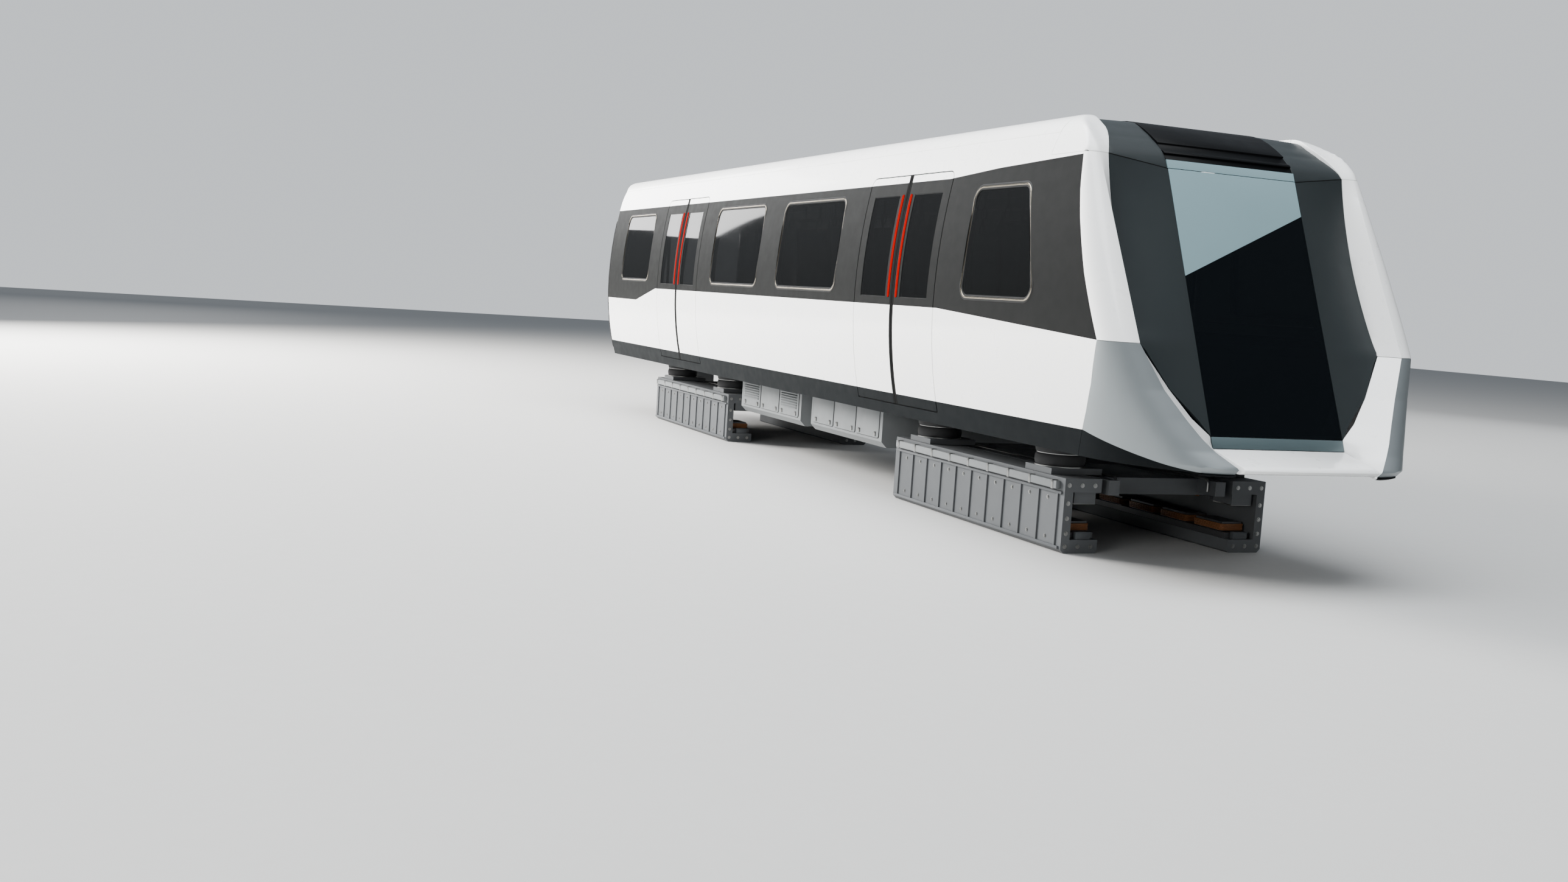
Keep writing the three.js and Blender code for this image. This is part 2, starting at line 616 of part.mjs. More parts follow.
// Linear motor: a slotted block that hangs under the upper arm, facing down.
function linearMotor() {
  const long = CHASSIS_LONG / 2 - 320;
  const under = MODULE.top - MODULE.arm;
  const { near, far, deep, slots, slotHalf } = MOTOR;
  let block = box(-long, long, near, far, under - deep, under + 5);
  steps(-long + 150, long - 150, slots).forEach((x) => {
    block = block.subtract(box(x - slotHalf, x + slotHalf, 600, 1000, under - deep - 15, under - deep + 25));
  });
  return block;
}

// Landing skid, which rests on the rail when the car is parked.
function landingSkid(end) {
  const at = end * (CHASSIS_LONG / 2 - SKID.fromEnd);
  const under = MODULE.top - MODULE.arm;
  return box(at - SKID.half, at + SKID.half, SKID.near, SKID.far, under - SKID.deep, under + 5);
}

function chassis(name, x) {
  const group = new THREE.Group();
  group.position.set(x, 0, 0);
  root.add(group);
  addPiece(`${name}_frame`, chassisFrame(), 'steel', group);
  [['left', 1], ['right', -1]].forEach(([side, s]) => {
    const placed = (solid) => (s > 0 ? solid : mirrored(solid));
    const module = joined([sideModule(), linearMotor(), landingSkid(1), landingSkid(-1)]);
    addPiece(`${name}_module_${side}`, placed(module), 'steel', group);
    addPiece(`${name}_magnets_${side}`, placed(magnetRow()), 'copper', group);
  });
}

// Bracket under the floor's rear end, with the drawbar's pin.
function drawbarBracket() {
  const { pivot, z, pin } = DRAWBAR;
  const { rear, front, half, plate, opening } = BRACKET;
  const top = SKIRT + FLOOR_LOW - SEAT_GAP;
  const a = pivot - rear;
  const b = pivot + front;
  const upper = box(a, b, -half, half, z + opening, z + opening + plate);
  const lower = box(a, b, -half, half, z - opening - plate, z - opening);
  const back = box(b - 70, b, -half, half, z - opening - plate, top);
  const cheeks = box(a, b, -half, 30 - half, z + opening, top).add(box(a, b, half - 30, half, z + opening, top));
  return joined([upper, lower, back, cheeks, cylinderZ(pin, pivot, 0, z - 110, z + 110, 16)]);
}

function drawbar() {
  const { pivot, tip, z } = DRAWBAR;
  const eye = cylinderZ(85, pivot, 0, z - 50, z + 50, 24);
  const bar = box(tip + 60, pivot, -50, 50, z - 45, z + 45);
  const flange = box(tip, tip + 60, -110, 110, z - 100, z + 100);
  return joined([eye, bar, flange]).subtract(cylinderZ(DRAWBAR.bore, pivot, 0, z - 80, z + 80, 16));
}

function build() {
  addPiece('floor', floorSlab(), 'floor');
  addPiece('rear_wall', rearWall(), 'dark');
  addPiece('gangway_bellows', bellows(), 'rubber');
  const wall = sideWall();
  const arch = archPost();
  const mask = maskPanel();
  const { screen, brow, visor, horn } = frontPieces();
  addPiece('roof', joined([roofPanel(), horn, mirrored(horn)]), 'white');
  const sides = [['left', (s) => s], ['right', mirrored]];
  sides.forEach(([side, placed]) => {
    addPiece(`side_wall_${side}`, placed(wall), 'white');
    windows.forEach((w) => addPiece(`window_${w.name}_${side}`, placed(windowPane(w)), 'glass'));
    doors.forEach((d) => {
      [['leaf_ahead', 1], ['leaf_behind', -1]].forEach(([leafName, end]) => {
        const { leaf, pane } = doorLeaf(d.seam, end);
        addPiece(`door_${d.name}_${side}_${leafName}`, placed(leaf), 'white');
        addPiece(`door_${d.name}_${side}_${leafName}_pane`, placed(pane), 'glass');
      });
    });
    addPiece(`nose_arch_${side}`, placed(arch), 'white');
    addPiece(`nose_cheek_${side}`, placed(cheek()), 'silver');
    addPiece(`nose_mask_${side}`, placed(mask), 'dark');
    addPiece(`seat_row_${side}`, placed(seatRow()), 'seat');
    addPiece(`grab_poles_${side}`, placed(grabPoles()), 'silver');
  });
  addPiece('front_console', frontConsole(), 'dark');
  addPiece('windscreen', screen, 'glass');
  addPiece('nose_visor', visor, 'black');
  addPiece('nose_brow', brow, 'dark');
  addPiece('nose_chin', chin(), 'white');
  addPiece('nose_sill_strip', sillStrip(), 'silver');
  equipment.forEach((e) => addPiece(e.name, underfloorBox(e), 'steel'));
  chassis('chassis_front', CHASSIS_X);
  chassis('chassis_rear', -CHASSIS_X);
  addPiece('drawbar_bracket', drawbarBracket(), 'steel');
  addPiece('drawbar', drawbar(), 'steel');
}

build();
export default root;
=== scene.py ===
import math
import bpy
import bmesh
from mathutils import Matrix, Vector
from mathutils.geometry import delaunay_2d_cdt


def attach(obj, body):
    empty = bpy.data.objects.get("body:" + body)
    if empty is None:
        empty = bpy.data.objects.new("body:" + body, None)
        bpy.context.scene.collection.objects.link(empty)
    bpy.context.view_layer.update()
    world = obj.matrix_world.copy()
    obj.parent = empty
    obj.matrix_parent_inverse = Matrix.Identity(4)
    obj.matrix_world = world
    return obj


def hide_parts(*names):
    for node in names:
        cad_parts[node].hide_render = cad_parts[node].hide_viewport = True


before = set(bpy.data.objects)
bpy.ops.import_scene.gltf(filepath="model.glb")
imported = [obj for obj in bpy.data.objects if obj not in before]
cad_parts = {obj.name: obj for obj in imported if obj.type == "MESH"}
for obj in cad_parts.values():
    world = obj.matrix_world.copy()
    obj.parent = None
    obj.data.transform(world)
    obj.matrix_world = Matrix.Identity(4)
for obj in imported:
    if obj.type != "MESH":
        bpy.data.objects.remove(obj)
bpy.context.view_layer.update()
print("frame loaded:", len(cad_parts), "nodes")

sides = (("left", 1), ("right", -1))  # a side's name and the sign of its y
ends = (("ahead", 1), ("behind", -1))  # an end's name and the sign of its x

# wear is the same on every finish: clouds of tone, smears of gloss, and the depth of the grain
wear = {"clouds": 1.7, "cloudDetail": 4, "smears": 9, "smearDetail": 5, "smoothest": 0.85, "roughest": 1.2,
        "grainDetail": 3, "grainDepth": 0.002, "coatRough": 0.06}


def noiseOf(tree, scale, detail):
    place = tree.nodes.new("ShaderNodeTexCoord")
    noise = tree.nodes.new("ShaderNodeTexNoise")
    noise.inputs["Scale"].default_value = scale
    noise.inputs["Detail"].default_value = detail
    tree.links.new(place.outputs["Object"], noise.inputs["Vector"])
    return noise.outputs["Fac"]


def material(name, colour, rough, metal=0.0, coat=0.0, vary=0.06, grain=0.0, grainScale=400, alpha=1.0,
             glow=0.0, shine=0.5):
    made = bpy.data.materials.new(name)
    made.use_nodes = True
    tree = made.node_tree
    shader = tree.nodes["Principled BSDF"]
    for socket, value in (("Metallic", metal), ("Specular IOR Level", shine), ("Coat Weight", coat),
                          ("Coat Roughness", wear["coatRough"]), ("Alpha", alpha)):
        shader.inputs[socket].default_value = value
    shade = tree.nodes.new("ShaderNodeMix")
    shade.data_type = "RGBA"
    shade.inputs["A"].default_value = (*[c * (1 - vary) for c in colour], 1)
    shade.inputs["B"].default_value = (*[min(1, c * (1 + vary)) for c in colour], 1)
    tree.links.new(noiseOf(tree, wear["clouds"], wear["cloudDetail"]), shade.inputs["Factor"])
    tree.links.new(shade.outputs["Result"], shader.inputs["Base Color"])
    gloss = tree.nodes.new("ShaderNodeMapRange")
    gloss.inputs["To Min"].default_value = rough * wear["smoothest"]
    gloss.inputs["To Max"].default_value = min(1, rough * wear["roughest"])
    tree.links.new(noiseOf(tree, wear["smears"], wear["smearDetail"]), gloss.inputs["Value"])
    tree.links.new(gloss.outputs["Result"], shader.inputs["Roughness"])
    if grain:
        bump = tree.nodes.new("ShaderNodeBump")
        bump.inputs["Strength"].default_value = grain
        bump.inputs["Distance"].default_value = wear["grainDepth"]
        tree.links.new(noiseOf(tree, grainScale, wear["grainDetail"]), bump.inputs["Height"])
        tree.links.new(bump.outputs["Normal"], shader.inputs["Normal"])
    if glow:
        shader.inputs["Emission Color"].default_value = (*colour, 1)
        shader.inputs["Emission Strength"].default_value = glow
    return made


paint = {
    "white": material("bodyWhite", (0.85, 0.855, 0.85), 0.28, coat=0.4, vary=0.02, grain=0.01, grainScale=60),
    "band": material("bandGrey", (0.0078, 0.0081, 0.0080), 0.5, vary=0.05, shine=0.1),
    # the skirt's own dark slate paint, made darker still as painted shade for the shadow under the body
    "slate": material("skirtSlateAndPaintedShade", (0.0035, 0.0046, 0.0053), 0.5, vary=0.08, shine=0.05),
    "mask": material("maskGrey", (0.0195, 0.0235, 0.0250), 0.42, vary=0.08, shine=0.12),
    "silver": material("silverGrey", (0.23, 0.255, 0.265), 0.36, metal=0.45, coat=0.15, vary=0.05),
    "glass": material("sideGlass", (0.005, 0.0053, 0.0055), 0.035, vary=0.1, alpha=0.84, shine=0.35),
    "screen": material("screenGlass", (0.002, 0.003, 0.004), 0.03, vary=0.1, alpha=0.86, shine=0.2),
    "clear": material("clearGlass", (0.30, 0.34, 0.35), 0.05, vary=0.1, alpha=0.2),
    # pale teal painted reflection for the windscreen's upper part and the visor glass
    "paintedReflection": material("screenPaintedReflection", (0.17, 0.255, 0.28), 0.14, coat=0.2, vary=0.05),
    "sill": material("sillStrip", (0.10, 0.14, 0.15), 0.35, metal=0.5, coat=0.2, vary=0.08),
    "champagne": material("windowBead", (0.42, 0.37, 0.29), 0.24, metal=1.0, vary=0.05),
    "gasket": material("blackRubber", (0.010, 0.010, 0.010), 0.55, vary=0.15, grain=0.1, shine=0.35),
    "gloss": material("visorBlack", (0.0015, 0.0017, 0.002), 0.35, vary=0.1, shine=0.04),
    "seam": material("seamRubber", (0.003, 0.003, 0.003), 0.6, vary=0.15, shine=0.06),
    "red": material("doorRed", (0.15, 0.0004, 0.0006), 0.5, vary=0.05, shine=0.0),
    "liner": material("innerLiner", (0.30, 0.31, 0.32), 0.6, vary=0.05, grain=0.05),
    "floor": material("saloonFloor", (0.10, 0.105, 0.11), 0.7, vary=0.12, grain=0.2, grainScale=900),
    "fabric": material("seatFabric", (0.03, 0.07, 0.15), 0.92, vary=0.18, grain=0.5, grainScale=1400),
    "shell": material("seatShell", (0.05, 0.055, 0.06), 0.45, vary=0.06),
    "pole": material("poleSteel", (0.55, 0.55, 0.54), 0.24, metal=1.0, vary=0.05),
    "frame": material("chassisGrey", (0.085, 0.09, 0.095), 0.5, metal=0.2, vary=0.14, grain=0.12,
                      grainScale=160),
    "box": material("equipmentGrey", (0.16, 0.17, 0.175), 0.48, metal=0.2, vary=0.1, grain=0.08,
                    grainScale=200),
    "steel": material("bareSteel", (0.34, 0.34, 0.33), 0.34, metal=1.0, vary=0.1, grain=0.06),
    "coil": material("coilVarnish", (0.20, 0.085, 0.035), 0.42, metal=0.3, coat=0.2, vary=0.16),
    "core": material("magnetCore", (0.10, 0.10, 0.105), 0.45, metal=0.7, vary=0.1),
    "bellows": material("bellowsRubber", (0.016, 0.016, 0.017), 0.72, vary=0.2, grain=0.25, grainScale=500),
    "lamp": material("lampLens", (0.85, 0.88, 0.90), 0.1, coat=0.5, vary=0.02, glow=2.5),
    "cable": material("cableBlack", (0.02, 0.02, 0.021), 0.5, vary=0.1),
}
print("materials made")


# outlines are lists of flat points; shapes are plain (verts, faces) pairs until they become pieces
def finish(name, verts, faces, kinds, tags=None, body="car_body", stands=(), crease=32):
    mesh = bpy.data.meshes.new(name)
    mesh.from_pydata([tuple(v) for v in verts], [], faces)
    for kind in kinds:
        mesh.materials.append(paint[kind])
    if tags:
        mesh.polygons.foreach_set("material_index", tags)
    work = bmesh.new()
    work.from_mesh(mesh)
    bmesh.ops.recalc_face_normals(work, faces=work.faces)
    work.to_mesh(mesh)
    work.free()
    mesh.shade_smooth()
    mesh.set_sharp_from_angle(angle=math.radians(crease))
    piece = bpy.data.objects.new(name, mesh)
    bpy.context.scene.collection.objects.link(piece)
    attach(piece, body)
    if stands:
        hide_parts(*stands)
    return piece


def steps(a, b, count):
    return [a + (b - a) * i / count for i in range(count + 1)]


def halfTurn(count):
    return steps(0, math.pi, count)


def valueAt(rows, key):
    for (x0, y0), (x1, y1) in zip(rows, rows[1:]):
        if key <= x1:
            return y0 + (y1 - y0) * (key - x0) / (x1 - x0)
    return rows[-1][1]


def rectangle(left, right, low, high):
    return [(left, low), (right, low), (right, high), (left, high)]


def inside(point, loop):
    x, y = point
    hit = False
    for (ax, ay), (bx, by) in zip(loop, loop[1:] + loop[:1]):
        if (ay > y) != (by > y) and x < (bx - ax) * (y - ay) / (by - ay) + ax:
            hit = not hit
    return hit


def anticlockwise(loop):
    area = sum(a[0] * b[1] - b[0] * a[1] for a, b in zip(loop, loop[1:] + loop[:1]))
    return list(loop) if area > 0 else list(reversed(loop))


def mitre(before, at, after):
    # points outward at a corner, long enough to move both edges by one
    a = (Vector(at) - Vector(before)).normalized()
    b = (Vector(after) - Vector(at)).normalized()
    n = Vector((a.y + b.y, -a.x - b.x))
    n = n.normalized() if n.length > 1e-9 else Vector((a.y, -a.x))
    return n / max(0.5, n.dot(Vector((a.y, -a.x))))


def mitres(loop):
    return [mitre(*corner) for corner in zip(loop[-1:] + loop[:-1], loop, loop[1:] + loop[:1])]


def grown(loop, by):
    loop = anticlockwise(loop)
    return [(p[0] + n.x * by, p[1] + n.y * by) for p, n in zip(loop, mitres(loop))]


def rounded(corners, radius, count=8, only=None):
    # only(x, y) picks the corners that are rounded
    corners = anticlockwise(corners)
    points = []
    for before, at, after in zip(corners[-1:] + corners[:-1], corners, corners[1:] + corners[:1]):
        if only and not only(*at):
            points.append(tuple(at))
            continue
        at = Vector(at)
        a = (Vector(before) - at).normalized()
        b = (Vector(after) - at).normalized()
        half = math.acos(max(-1, min(1, a.dot(b)))) / 2
        centre = at + (a + b).normalized() * radius / math.sin(half)
        start = at + a * radius / math.tan(half) - centre
        first = math.atan2(start.y, start.x)
        points += [(centre.x + radius * math.cos(first + t), centre.y + radius * math.sin(first + t))
                   for t in steps(0, math.pi - 2 * half, count)]
    return points


def cutZone(outer, holes, rows, columns, lines):
    # triangles of outer minus holes, with edges along the rows, columns and lines that cross it
    margin = 0.1
    us, vs = zip(*outer)
    left, right, low, high = min(us) - margin, max(us) + margin, min(vs) - margin, max(vs) + margin
    coords, edges = [], []
    for loop in [outer, *holes]:
        start = len(coords)
        coords += [Vector(p) for p in loop]
        edges += [(start + i, start + (i + 1) % len(loop)) for i in range(len(loop))]
    straight = [[(left, v), (right, v)] for v in rows] + [[(u, low), (u, high)] for u in columns]
    for line in [*straight, *lines]:
        start = len(coords)
        coords += [Vector(p) for p in line]
        edges += [(start + i, start + i + 1) for i in range(len(line) - 1)]
    flat, _, cells, _, _, _ = delaunay_2d_cdt(coords, edges, [], 0, 1e-5, False)
    kept = []
    for cell in cells:
        middle = sum((flat[i] for i in cell), Vector((0, 0))) / len(cell)
        if inside(middle, outer) and not any(inside(middle, hole) for hole in holes):
            kept.append(list(cell))
    used = sorted({i for cell in kept for i in cell})
    index = {old: new for new, old in enumerate(used)}
    return [flat[i] for i in used], [[index[i] for i in cell] for cell in kept]


def panel(name, zone, place, kinds, holes=(), depth=0.0, thick=0.055, edge=0.0025, rows=(), columns=(),
          lines=(), choose=None, body="car_body", stands=(), crease=12):
    # closed curved sheet: zone minus holes in a surface's own coordinates, with rounded front edges
    spots, cells = cutZone(grown(zone, -edge), [grown(hole, edge) for hole in holes], rows, columns, lines)
    around = {(a, b) for cell in cells for a, b in zip(cell, cell[1:] + cell[:1])}
    border = [(a, b) for cell in cells for a, b in zip(cell, cell[1:] + cell[:1]) if (b, a) not in around]
    leading = {b: a for a, b in border}
    out = {a: mitre(spots[leading[a]], spots[a], spots[b]) for a, b in border}
    choose = choose or (lambda u, v: 0)
    verts = [place(p.x, p.y, depth) for p in spots]
    faces = list(cells)
    tags = [choose(*(sum((spots[i] for i in cell), Vector((0, 0))) / 3)) for cell in cells]
    edgeTags = [choose(*((spots[a] + spots[b]) / 2 - out[a] * 0.002)) for a, b in border]
    previous = {i: i for i in out}
    turns = [math.radians(a) for a in (30, 60, 90)] if edge else []
    layers = [(edge * math.sin(t), depth + edge * (1 - math.cos(t))) for t in turns] + [(edge, depth + thick)]
    for reach, deep in layers:
        fresh = {}
        for i, n in out.items():
            p = spots[i] + n * reach
            fresh[i] = len(verts)
            verts.append(place(p.x, p.y, deep))
        faces += [(previous[b], previous[a], fresh[a], fresh[b]) for a, b in border]
        tags += edgeTags
        previous = fresh
    back = {}
    for i, p in enumerate(spots):
        back[i] = previous[i] if i in previous else len(verts)
        if i not in previous:
            verts.append(place(p.x, p.y, depth + thick))
    faces += [tuple(back[i] for i in reversed(cell)) for cell in cells]
    tags += [0] * len(cells)
    return finish(name, verts, faces, kinds, tags, body, stands, crease)


def sheetGrid(name, grid, thick, kinds, choose=None, body="car_body", stands=(), crease=32, flip=1):
    # closed sheet from rows of points, thickened inwards
    count, wide = len(grid), len(grid[0])
    inner = []
    for r in range(count):
        line = []
        for c in range(wide):
            across = grid[r][min(c + 1, wide - 1)] - grid[r][max(c - 1, 0)]
            along = grid[min(r + 1, count - 1)][c] - grid[max(r - 1, 0)][c]
            line.append(grid[r][c] - across.cross(along).normalized() * thick * flip)
        inner.append(line)
    verts = [p for line in grid for p in line] + [p for line in inner for p in line]
    deep = count * wide
    choose = choose or (lambda r, c: 0)
    faces, tags = [], []
    for r in range(count - 1):
        for c in range(wide - 1):
            a = r * wide + c
            quad = (a, a + 1, a + wide + 1, a + wide)
            faces += [quad, tuple(i + deep for i in reversed(quad))]
            tags += [choose(r, c)] * 2
    rim = [(0, c) for c in range(wide)] + [(r, wide - 1) for r in range(1, count)]
    rim += [(count - 1, c) for c in range(wide - 2, -1, -1)] + [(r, 0) for r in range(count - 2, 0, -1)]
    for (r0, c0), (r1, c1) in zip(rim, rim[1:] + rim[:1]):
        a, b = r0 * wide + c0, r1 * wide + c1
        faces.append((b, a, a + deep, b + deep))
        tags.append(choose(min(r0, r1, count - 2), min(c0, c1, wide - 2)))
    return finish(name, verts, faces, kinds, tags, body, stands, crease)


def softened(work, edge, rings=2, sharp=30):
    corners = [e for e in work.edges if len(e.link_faces) == 2 and e.calc_face_angle(0) > math.radians(sharp)]
    bmesh.ops.bevel(work, geom=corners, offset=edge, segments=rings, profile=0.5, affect="EDGES",
                    clamp_overlap=True)


def shapeOf(work):
    bmesh.ops.recalc_face_normals(work, faces=work.faces)
    work.verts.index_update()
    shape = [v.co.copy() for v in work.verts], [[v.index for v in f.verts] for f in work.faces]
    work.free()
    return shape


def boxShape(size, mid=0, hand=1, way=1):
    # size holds the x, y and z ranges and the width of the edges; x runs from mid, ahead or behind with way,
    # and hand -1 puts the box on the right side
    xs, ys, zs, edge = size
    work = bmesh.new()
    bmesh.ops.create_cube(work, size=1)
    pairs = [[mid + way * x for x in xs], [hand * y for y in ys], zs]
    low, high = [min(pair) for pair in pairs], [max(pair) for pair in pairs]
    for v in work.verts:
        v.co = Vector([(low[i] + high[i]) / 2 + v.co[i] * (high[i] - low[i]) for i in range(3)])
    if edge:
        softened(work, edge)
    return shapeOf(work)


def sweptShape(outline, axis, start, end, edge=0.002):
    # an outline swept along an axis: x takes (y, z), y takes (x, z), z takes (x, y)
    turn = {"x": lambda a, b, t: (t, a, b), "y": lambda a, b, t: (a, t, b),
            "z": lambda a, b, t: (a, b, t)}[axis]
    work = bmesh.new()
    near = [work.verts.new(turn(a, b, start)) for a, b in outline]
    far = [work.verts.new(turn(a, b, end)) for a, b in outline]
    work.faces.new(near)
    work.faces.new(list(reversed(far)))
    for i in range(len(outline)):
        j = (i + 1) % len(outline)
        work.faces.new((near[i], far[i], far[j], near[j]))
    bmesh.ops.recalc_face_normals(work, faces=work.faces)
    if edge:
        softened(work, edge)
    return shapeOf(work)


def turnedShape(profile, centre, axis="z", count=40):
    # a closed (radius, height) outline turned round an axis through centre
    work = bmesh.new()
    rings = []
    for i in range(count):
        turn = 2 * math.pi * i / count
        ring = []
        for r, h in profile:
            a, b = r * math.cos(turn), r * math.sin(turn)
            at = {"z": (a, b, h), "x": (h, a, b), "y": (a, h, b)}[axis]
            ring.append(work.verts.new(Vector(at) + Vector(centre)))
        rings.append(ring)
    for i in range(count):
        for j in range(len(profile)):
            k = (j + 1) % len(profile)
            work.faces.new((rings[i][j], rings[(i + 1) % count][j], rings[(i + 1) % count][k], rings[i][k]))
    bmesh.ops.remove_doubles(work, verts=work.verts, dist=1e-5)
    return shapeOf(work)


def ringShape(loop, place, profile):
    # a section of (offset outward, depth) points led round an outline
    loop = anticlockwise(loop)
    verts, faces = [], []
    for p, n in zip(loop, mitres(loop)):
        verts += [place(p[0] + n.x * o, p[1] + n.y * o, d) for o, d in profile]
    size, total = len(profile), len(loop)
    for i in range(total):
        here, there = i * size, ((i + 1) % total) * size
        for j in range(size):
            k = (j + 1) % size
            faces.append((here + j, here + k, there + k, there + j))
    return verts, faces


def together(*shapes):
    verts, faces = [], []
    for more, cells in shapes:
        start = len(verts)
        verts += more
        faces += [[i + start for i in cell] for cell in cells]
    return verts, faces


def solid(name, shapes, kind, body="car_body", stands=(), crease=32):
    verts, faces = together(*shapes)
    return finish(name, verts, faces, [kind], None, body, stands, crease)


def band(name, loop, place, profile, kind, stands=()):
    return solid(name, [ringShape(loop, place, profile)], kind, stands=stands)


# node trees for what repeats or follows a path
def nodeTree(name, inputs):
    tree = bpy.data.node_groups.new(name, "GeometryNodeTree")
    tree.interface.new_socket("Geometry", in_out="INPUT", socket_type="NodeSocketGeometry")
    for label, form in inputs:
        tree.interface.new_socket(label, in_out="INPUT", socket_type=f"NodeSocket{form}")
    tree.interface.new_socket("Geometry", in_out="OUTPUT", socket_type="NodeSocketGeometry")
    nodes = {}
    for label, form in (("enter", "NodeGroupInput"), ("leave", "NodeGroupOutput"),
                        ("real", "GeometryNodeRealizeInstances"), ("finish", "GeometryNodeSetMaterial")):
        nodes[label] = tree.nodes.new(form)
    tree.links.new(nodes["real"].outputs["Geometry"], nodes["finish"].inputs["Geometry"])
    tree.links.new(nodes["enter"].outputs["Finish"], nodes["finish"].inputs["Material"])
    tree.links.new(nodes["finish"].outputs["Geometry"], nodes["leave"].inputs["Geometry"])
    return tree, nodes


def repeatTree():
    # copies the incoming shape along a line, and that line along another
    tree, nodes = nodeTree("repeatedShape", (("Count", "Int"), ("Step", "Vector"), ("Rows", "Int"),
                                             ("Row Step", "Vector"), ("Finish", "Material")))
    enter, link = nodes["enter"], tree.links.new
    instance = enter.outputs["Geometry"]
    for count, step in (("Count", "Step"), ("Rows", "Row Step")):
        line = tree.nodes.new("GeometryNodeMeshLine")
        spread = tree.nodes.new("GeometryNodeInstanceOnPoints")
        link(enter.outputs[count], line.inputs["Count"])
        link(enter.outputs[step], line.inputs["Offset"])
        link(line.outputs["Mesh"], spread.inputs["Points"])
        link(instance, spread.inputs["Instance"])
        instance = spread.outputs["Instances"]
    link(instance, nodes["real"].inputs["Geometry"])
    return tree


def boltTree():
    # a hexagon head on a washer at every point, along the point's own facing
    tree, nodes = nodeTree("boltHeads", (("Across", "Float"), ("Height", "Float"), ("Finish", "Material")))
    enter, link = nodes["enter"], tree.links.new
    parts = tree.nodes.new("GeometryNodeJoinGeometry")
    for flats, wide, high in ((14, 0.85, 0.3), (6, 0.58, 1.0)):  # the washer, then the head
        head = tree.nodes.new("GeometryNodeMeshCylinder")
        head.inputs["Vertices"].default_value = flats
        for size, share, socket in (("Across", wide, "Radius"), ("Height", high * 2, "Depth")):
            times = tree.nodes.new("ShaderNodeMath")
            times.operation = "MULTIPLY"
            times.inputs[1].default_value = share
            link(enter.outputs[size], times.inputs[0])
            link(times.outputs["Value"], head.inputs[socket])
        link(head.outputs["Mesh"], parts.inputs["Geometry"])
    facing = tree.nodes.new("GeometryNodeInputNamedAttribute")
    facing.data_type = "FLOAT_VECTOR"
    facing.inputs["Name"].default_value = "facing"
    align = tree.nodes.new("FunctionNodeAlignRotationToVector")
    align.axis = "Z"
    spread = tree.nodes.new("GeometryNodeInstanceOnPoints")
    link(facing.outputs["Attribute"], align.inputs["Vector"])
    link(enter.outputs["Geometry"], spread.inputs["Points"])
    link(parts.outputs["Geometry"], spread.inputs["Instance"])
    link(align.outputs["Rotation"], spread.inputs["Rotation"])
    link(spread.outputs["Instances"], nodes["real"].inputs["Geometry"])
    return tree


def pipeTree():
    # a round tube with rounded bends along the incoming edges
    tree, nodes = nodeTree("pipeRun", (("Radius", "Float"), ("Bend", "Float"), ("Finish", "Material")))
    enter, link = nodes["enter"], tree.links.new
    run = tree.nodes.new("GeometryNodeMeshToCurve")
    fillet = tree.nodes.new("GeometryNodeFilletCurve")
    fillet.mode = "POLY"
    fillet.inputs["Count"].default_value = 7
    ring = tree.nodes.new("GeometryNodeCurvePrimitiveCircle")
    ring.inputs["Resolution"].default_value = 12
    tube = tree.nodes.new("GeometryNodeCurveToMesh")
    tube.inputs["Fill Caps"].default_value = True
    link(enter.outputs["Geometry"], run.inputs["Mesh"])
    link(run.outputs["Curve"], fillet.inputs["Curve"])
    link(enter.outputs["Bend"], fillet.inputs["Radius"])
    link(enter.outputs["Radius"], ring.inputs["Radius"])
    link(fillet.outputs["Curve"], tube.inputs["Curve"])
    link(ring.outputs["Curve"], tube.inputs["Profile Curve"])
    link(tube.outputs["Mesh"], nodes["real"].inputs["Geometry"])
    return tree


trees = {"repeat": repeatTree(), "bolt": boltTree(), "pipe": pipeTree()}


def grownBy(rule, name, mesh, sizes, kind, body, stands, crease):
    # runs one of the trees on a mesh and keeps the result as a plain mesh
    holder = bpy.data.objects.new(name, mesh)
    bpy.context.scene.collection.objects.link(holder)
    tree = trees[rule]
    grow = holder.modifiers.new(rule, "NODES")
    grow.node_group = tree
    for item in tree.interface.items_tree:
        if item.item_type == "SOCKET" and item.in_out == "INPUT" and item.name != "Geometry":
            value = paint[kind] if item.name == "Finish" else sizes[item.name]
            grow[item.identifier] = [float(v) for v in value] if isinstance(value, tuple) else value
    made = bpy.data.meshes.new_from_object(holder.evaluated_get(bpy.context.evaluated_depsgraph_get()))
    holder.modifiers.clear()
    bpy.data.objects.remove(holder)
    work = bmesh.new()
    work.from_mesh(made)
    verts, faces = shapeOf(work)
    return finish(name, verts, faces, [kind], None, body, stands, crease)


def repeated(name, shape, kind, count, step, rows=1, rowStep=(0, 0, 0), body="car_body", stands=(),
             crease=32):
    mesh = bpy.data.meshes.new(name)
    mesh.from_pydata(shape[0], [], shape[1])
    sizes = {"Count": count, "Step": step, "Rows": rows, "Row Step": rowStep}
    return grownBy("repeat", name, mesh, sizes, kind, body, stands, crease)


def bolts(name, spots, facing, across=0.022, height=0.006, body="car_body", kind="steel"):
    mesh = bpy.data.meshes.new(name)
    mesh.from_pydata(spots, [], [])
    aims = mesh.attributes.new("facing", "FLOAT_VECTOR", "POINT")
    aims.data.foreach_set("vector", list(facing) * len(spots))
    return grownBy("bolt", name, mesh, {"Across": across, "Height": height}, kind, body, (), 25)


def pipe(name, points, radius, kind="steel", bend=0.05, body="car_body"):
    mesh = bpy.data.meshes.new(name)
    mesh.from_pydata(points, [(i, i + 1) for i in range(len(points) - 1)], [])
    return grownBy("pipe", name, mesh, {"Radius": radius, "Bend": bend}, kind, body, (), 40)


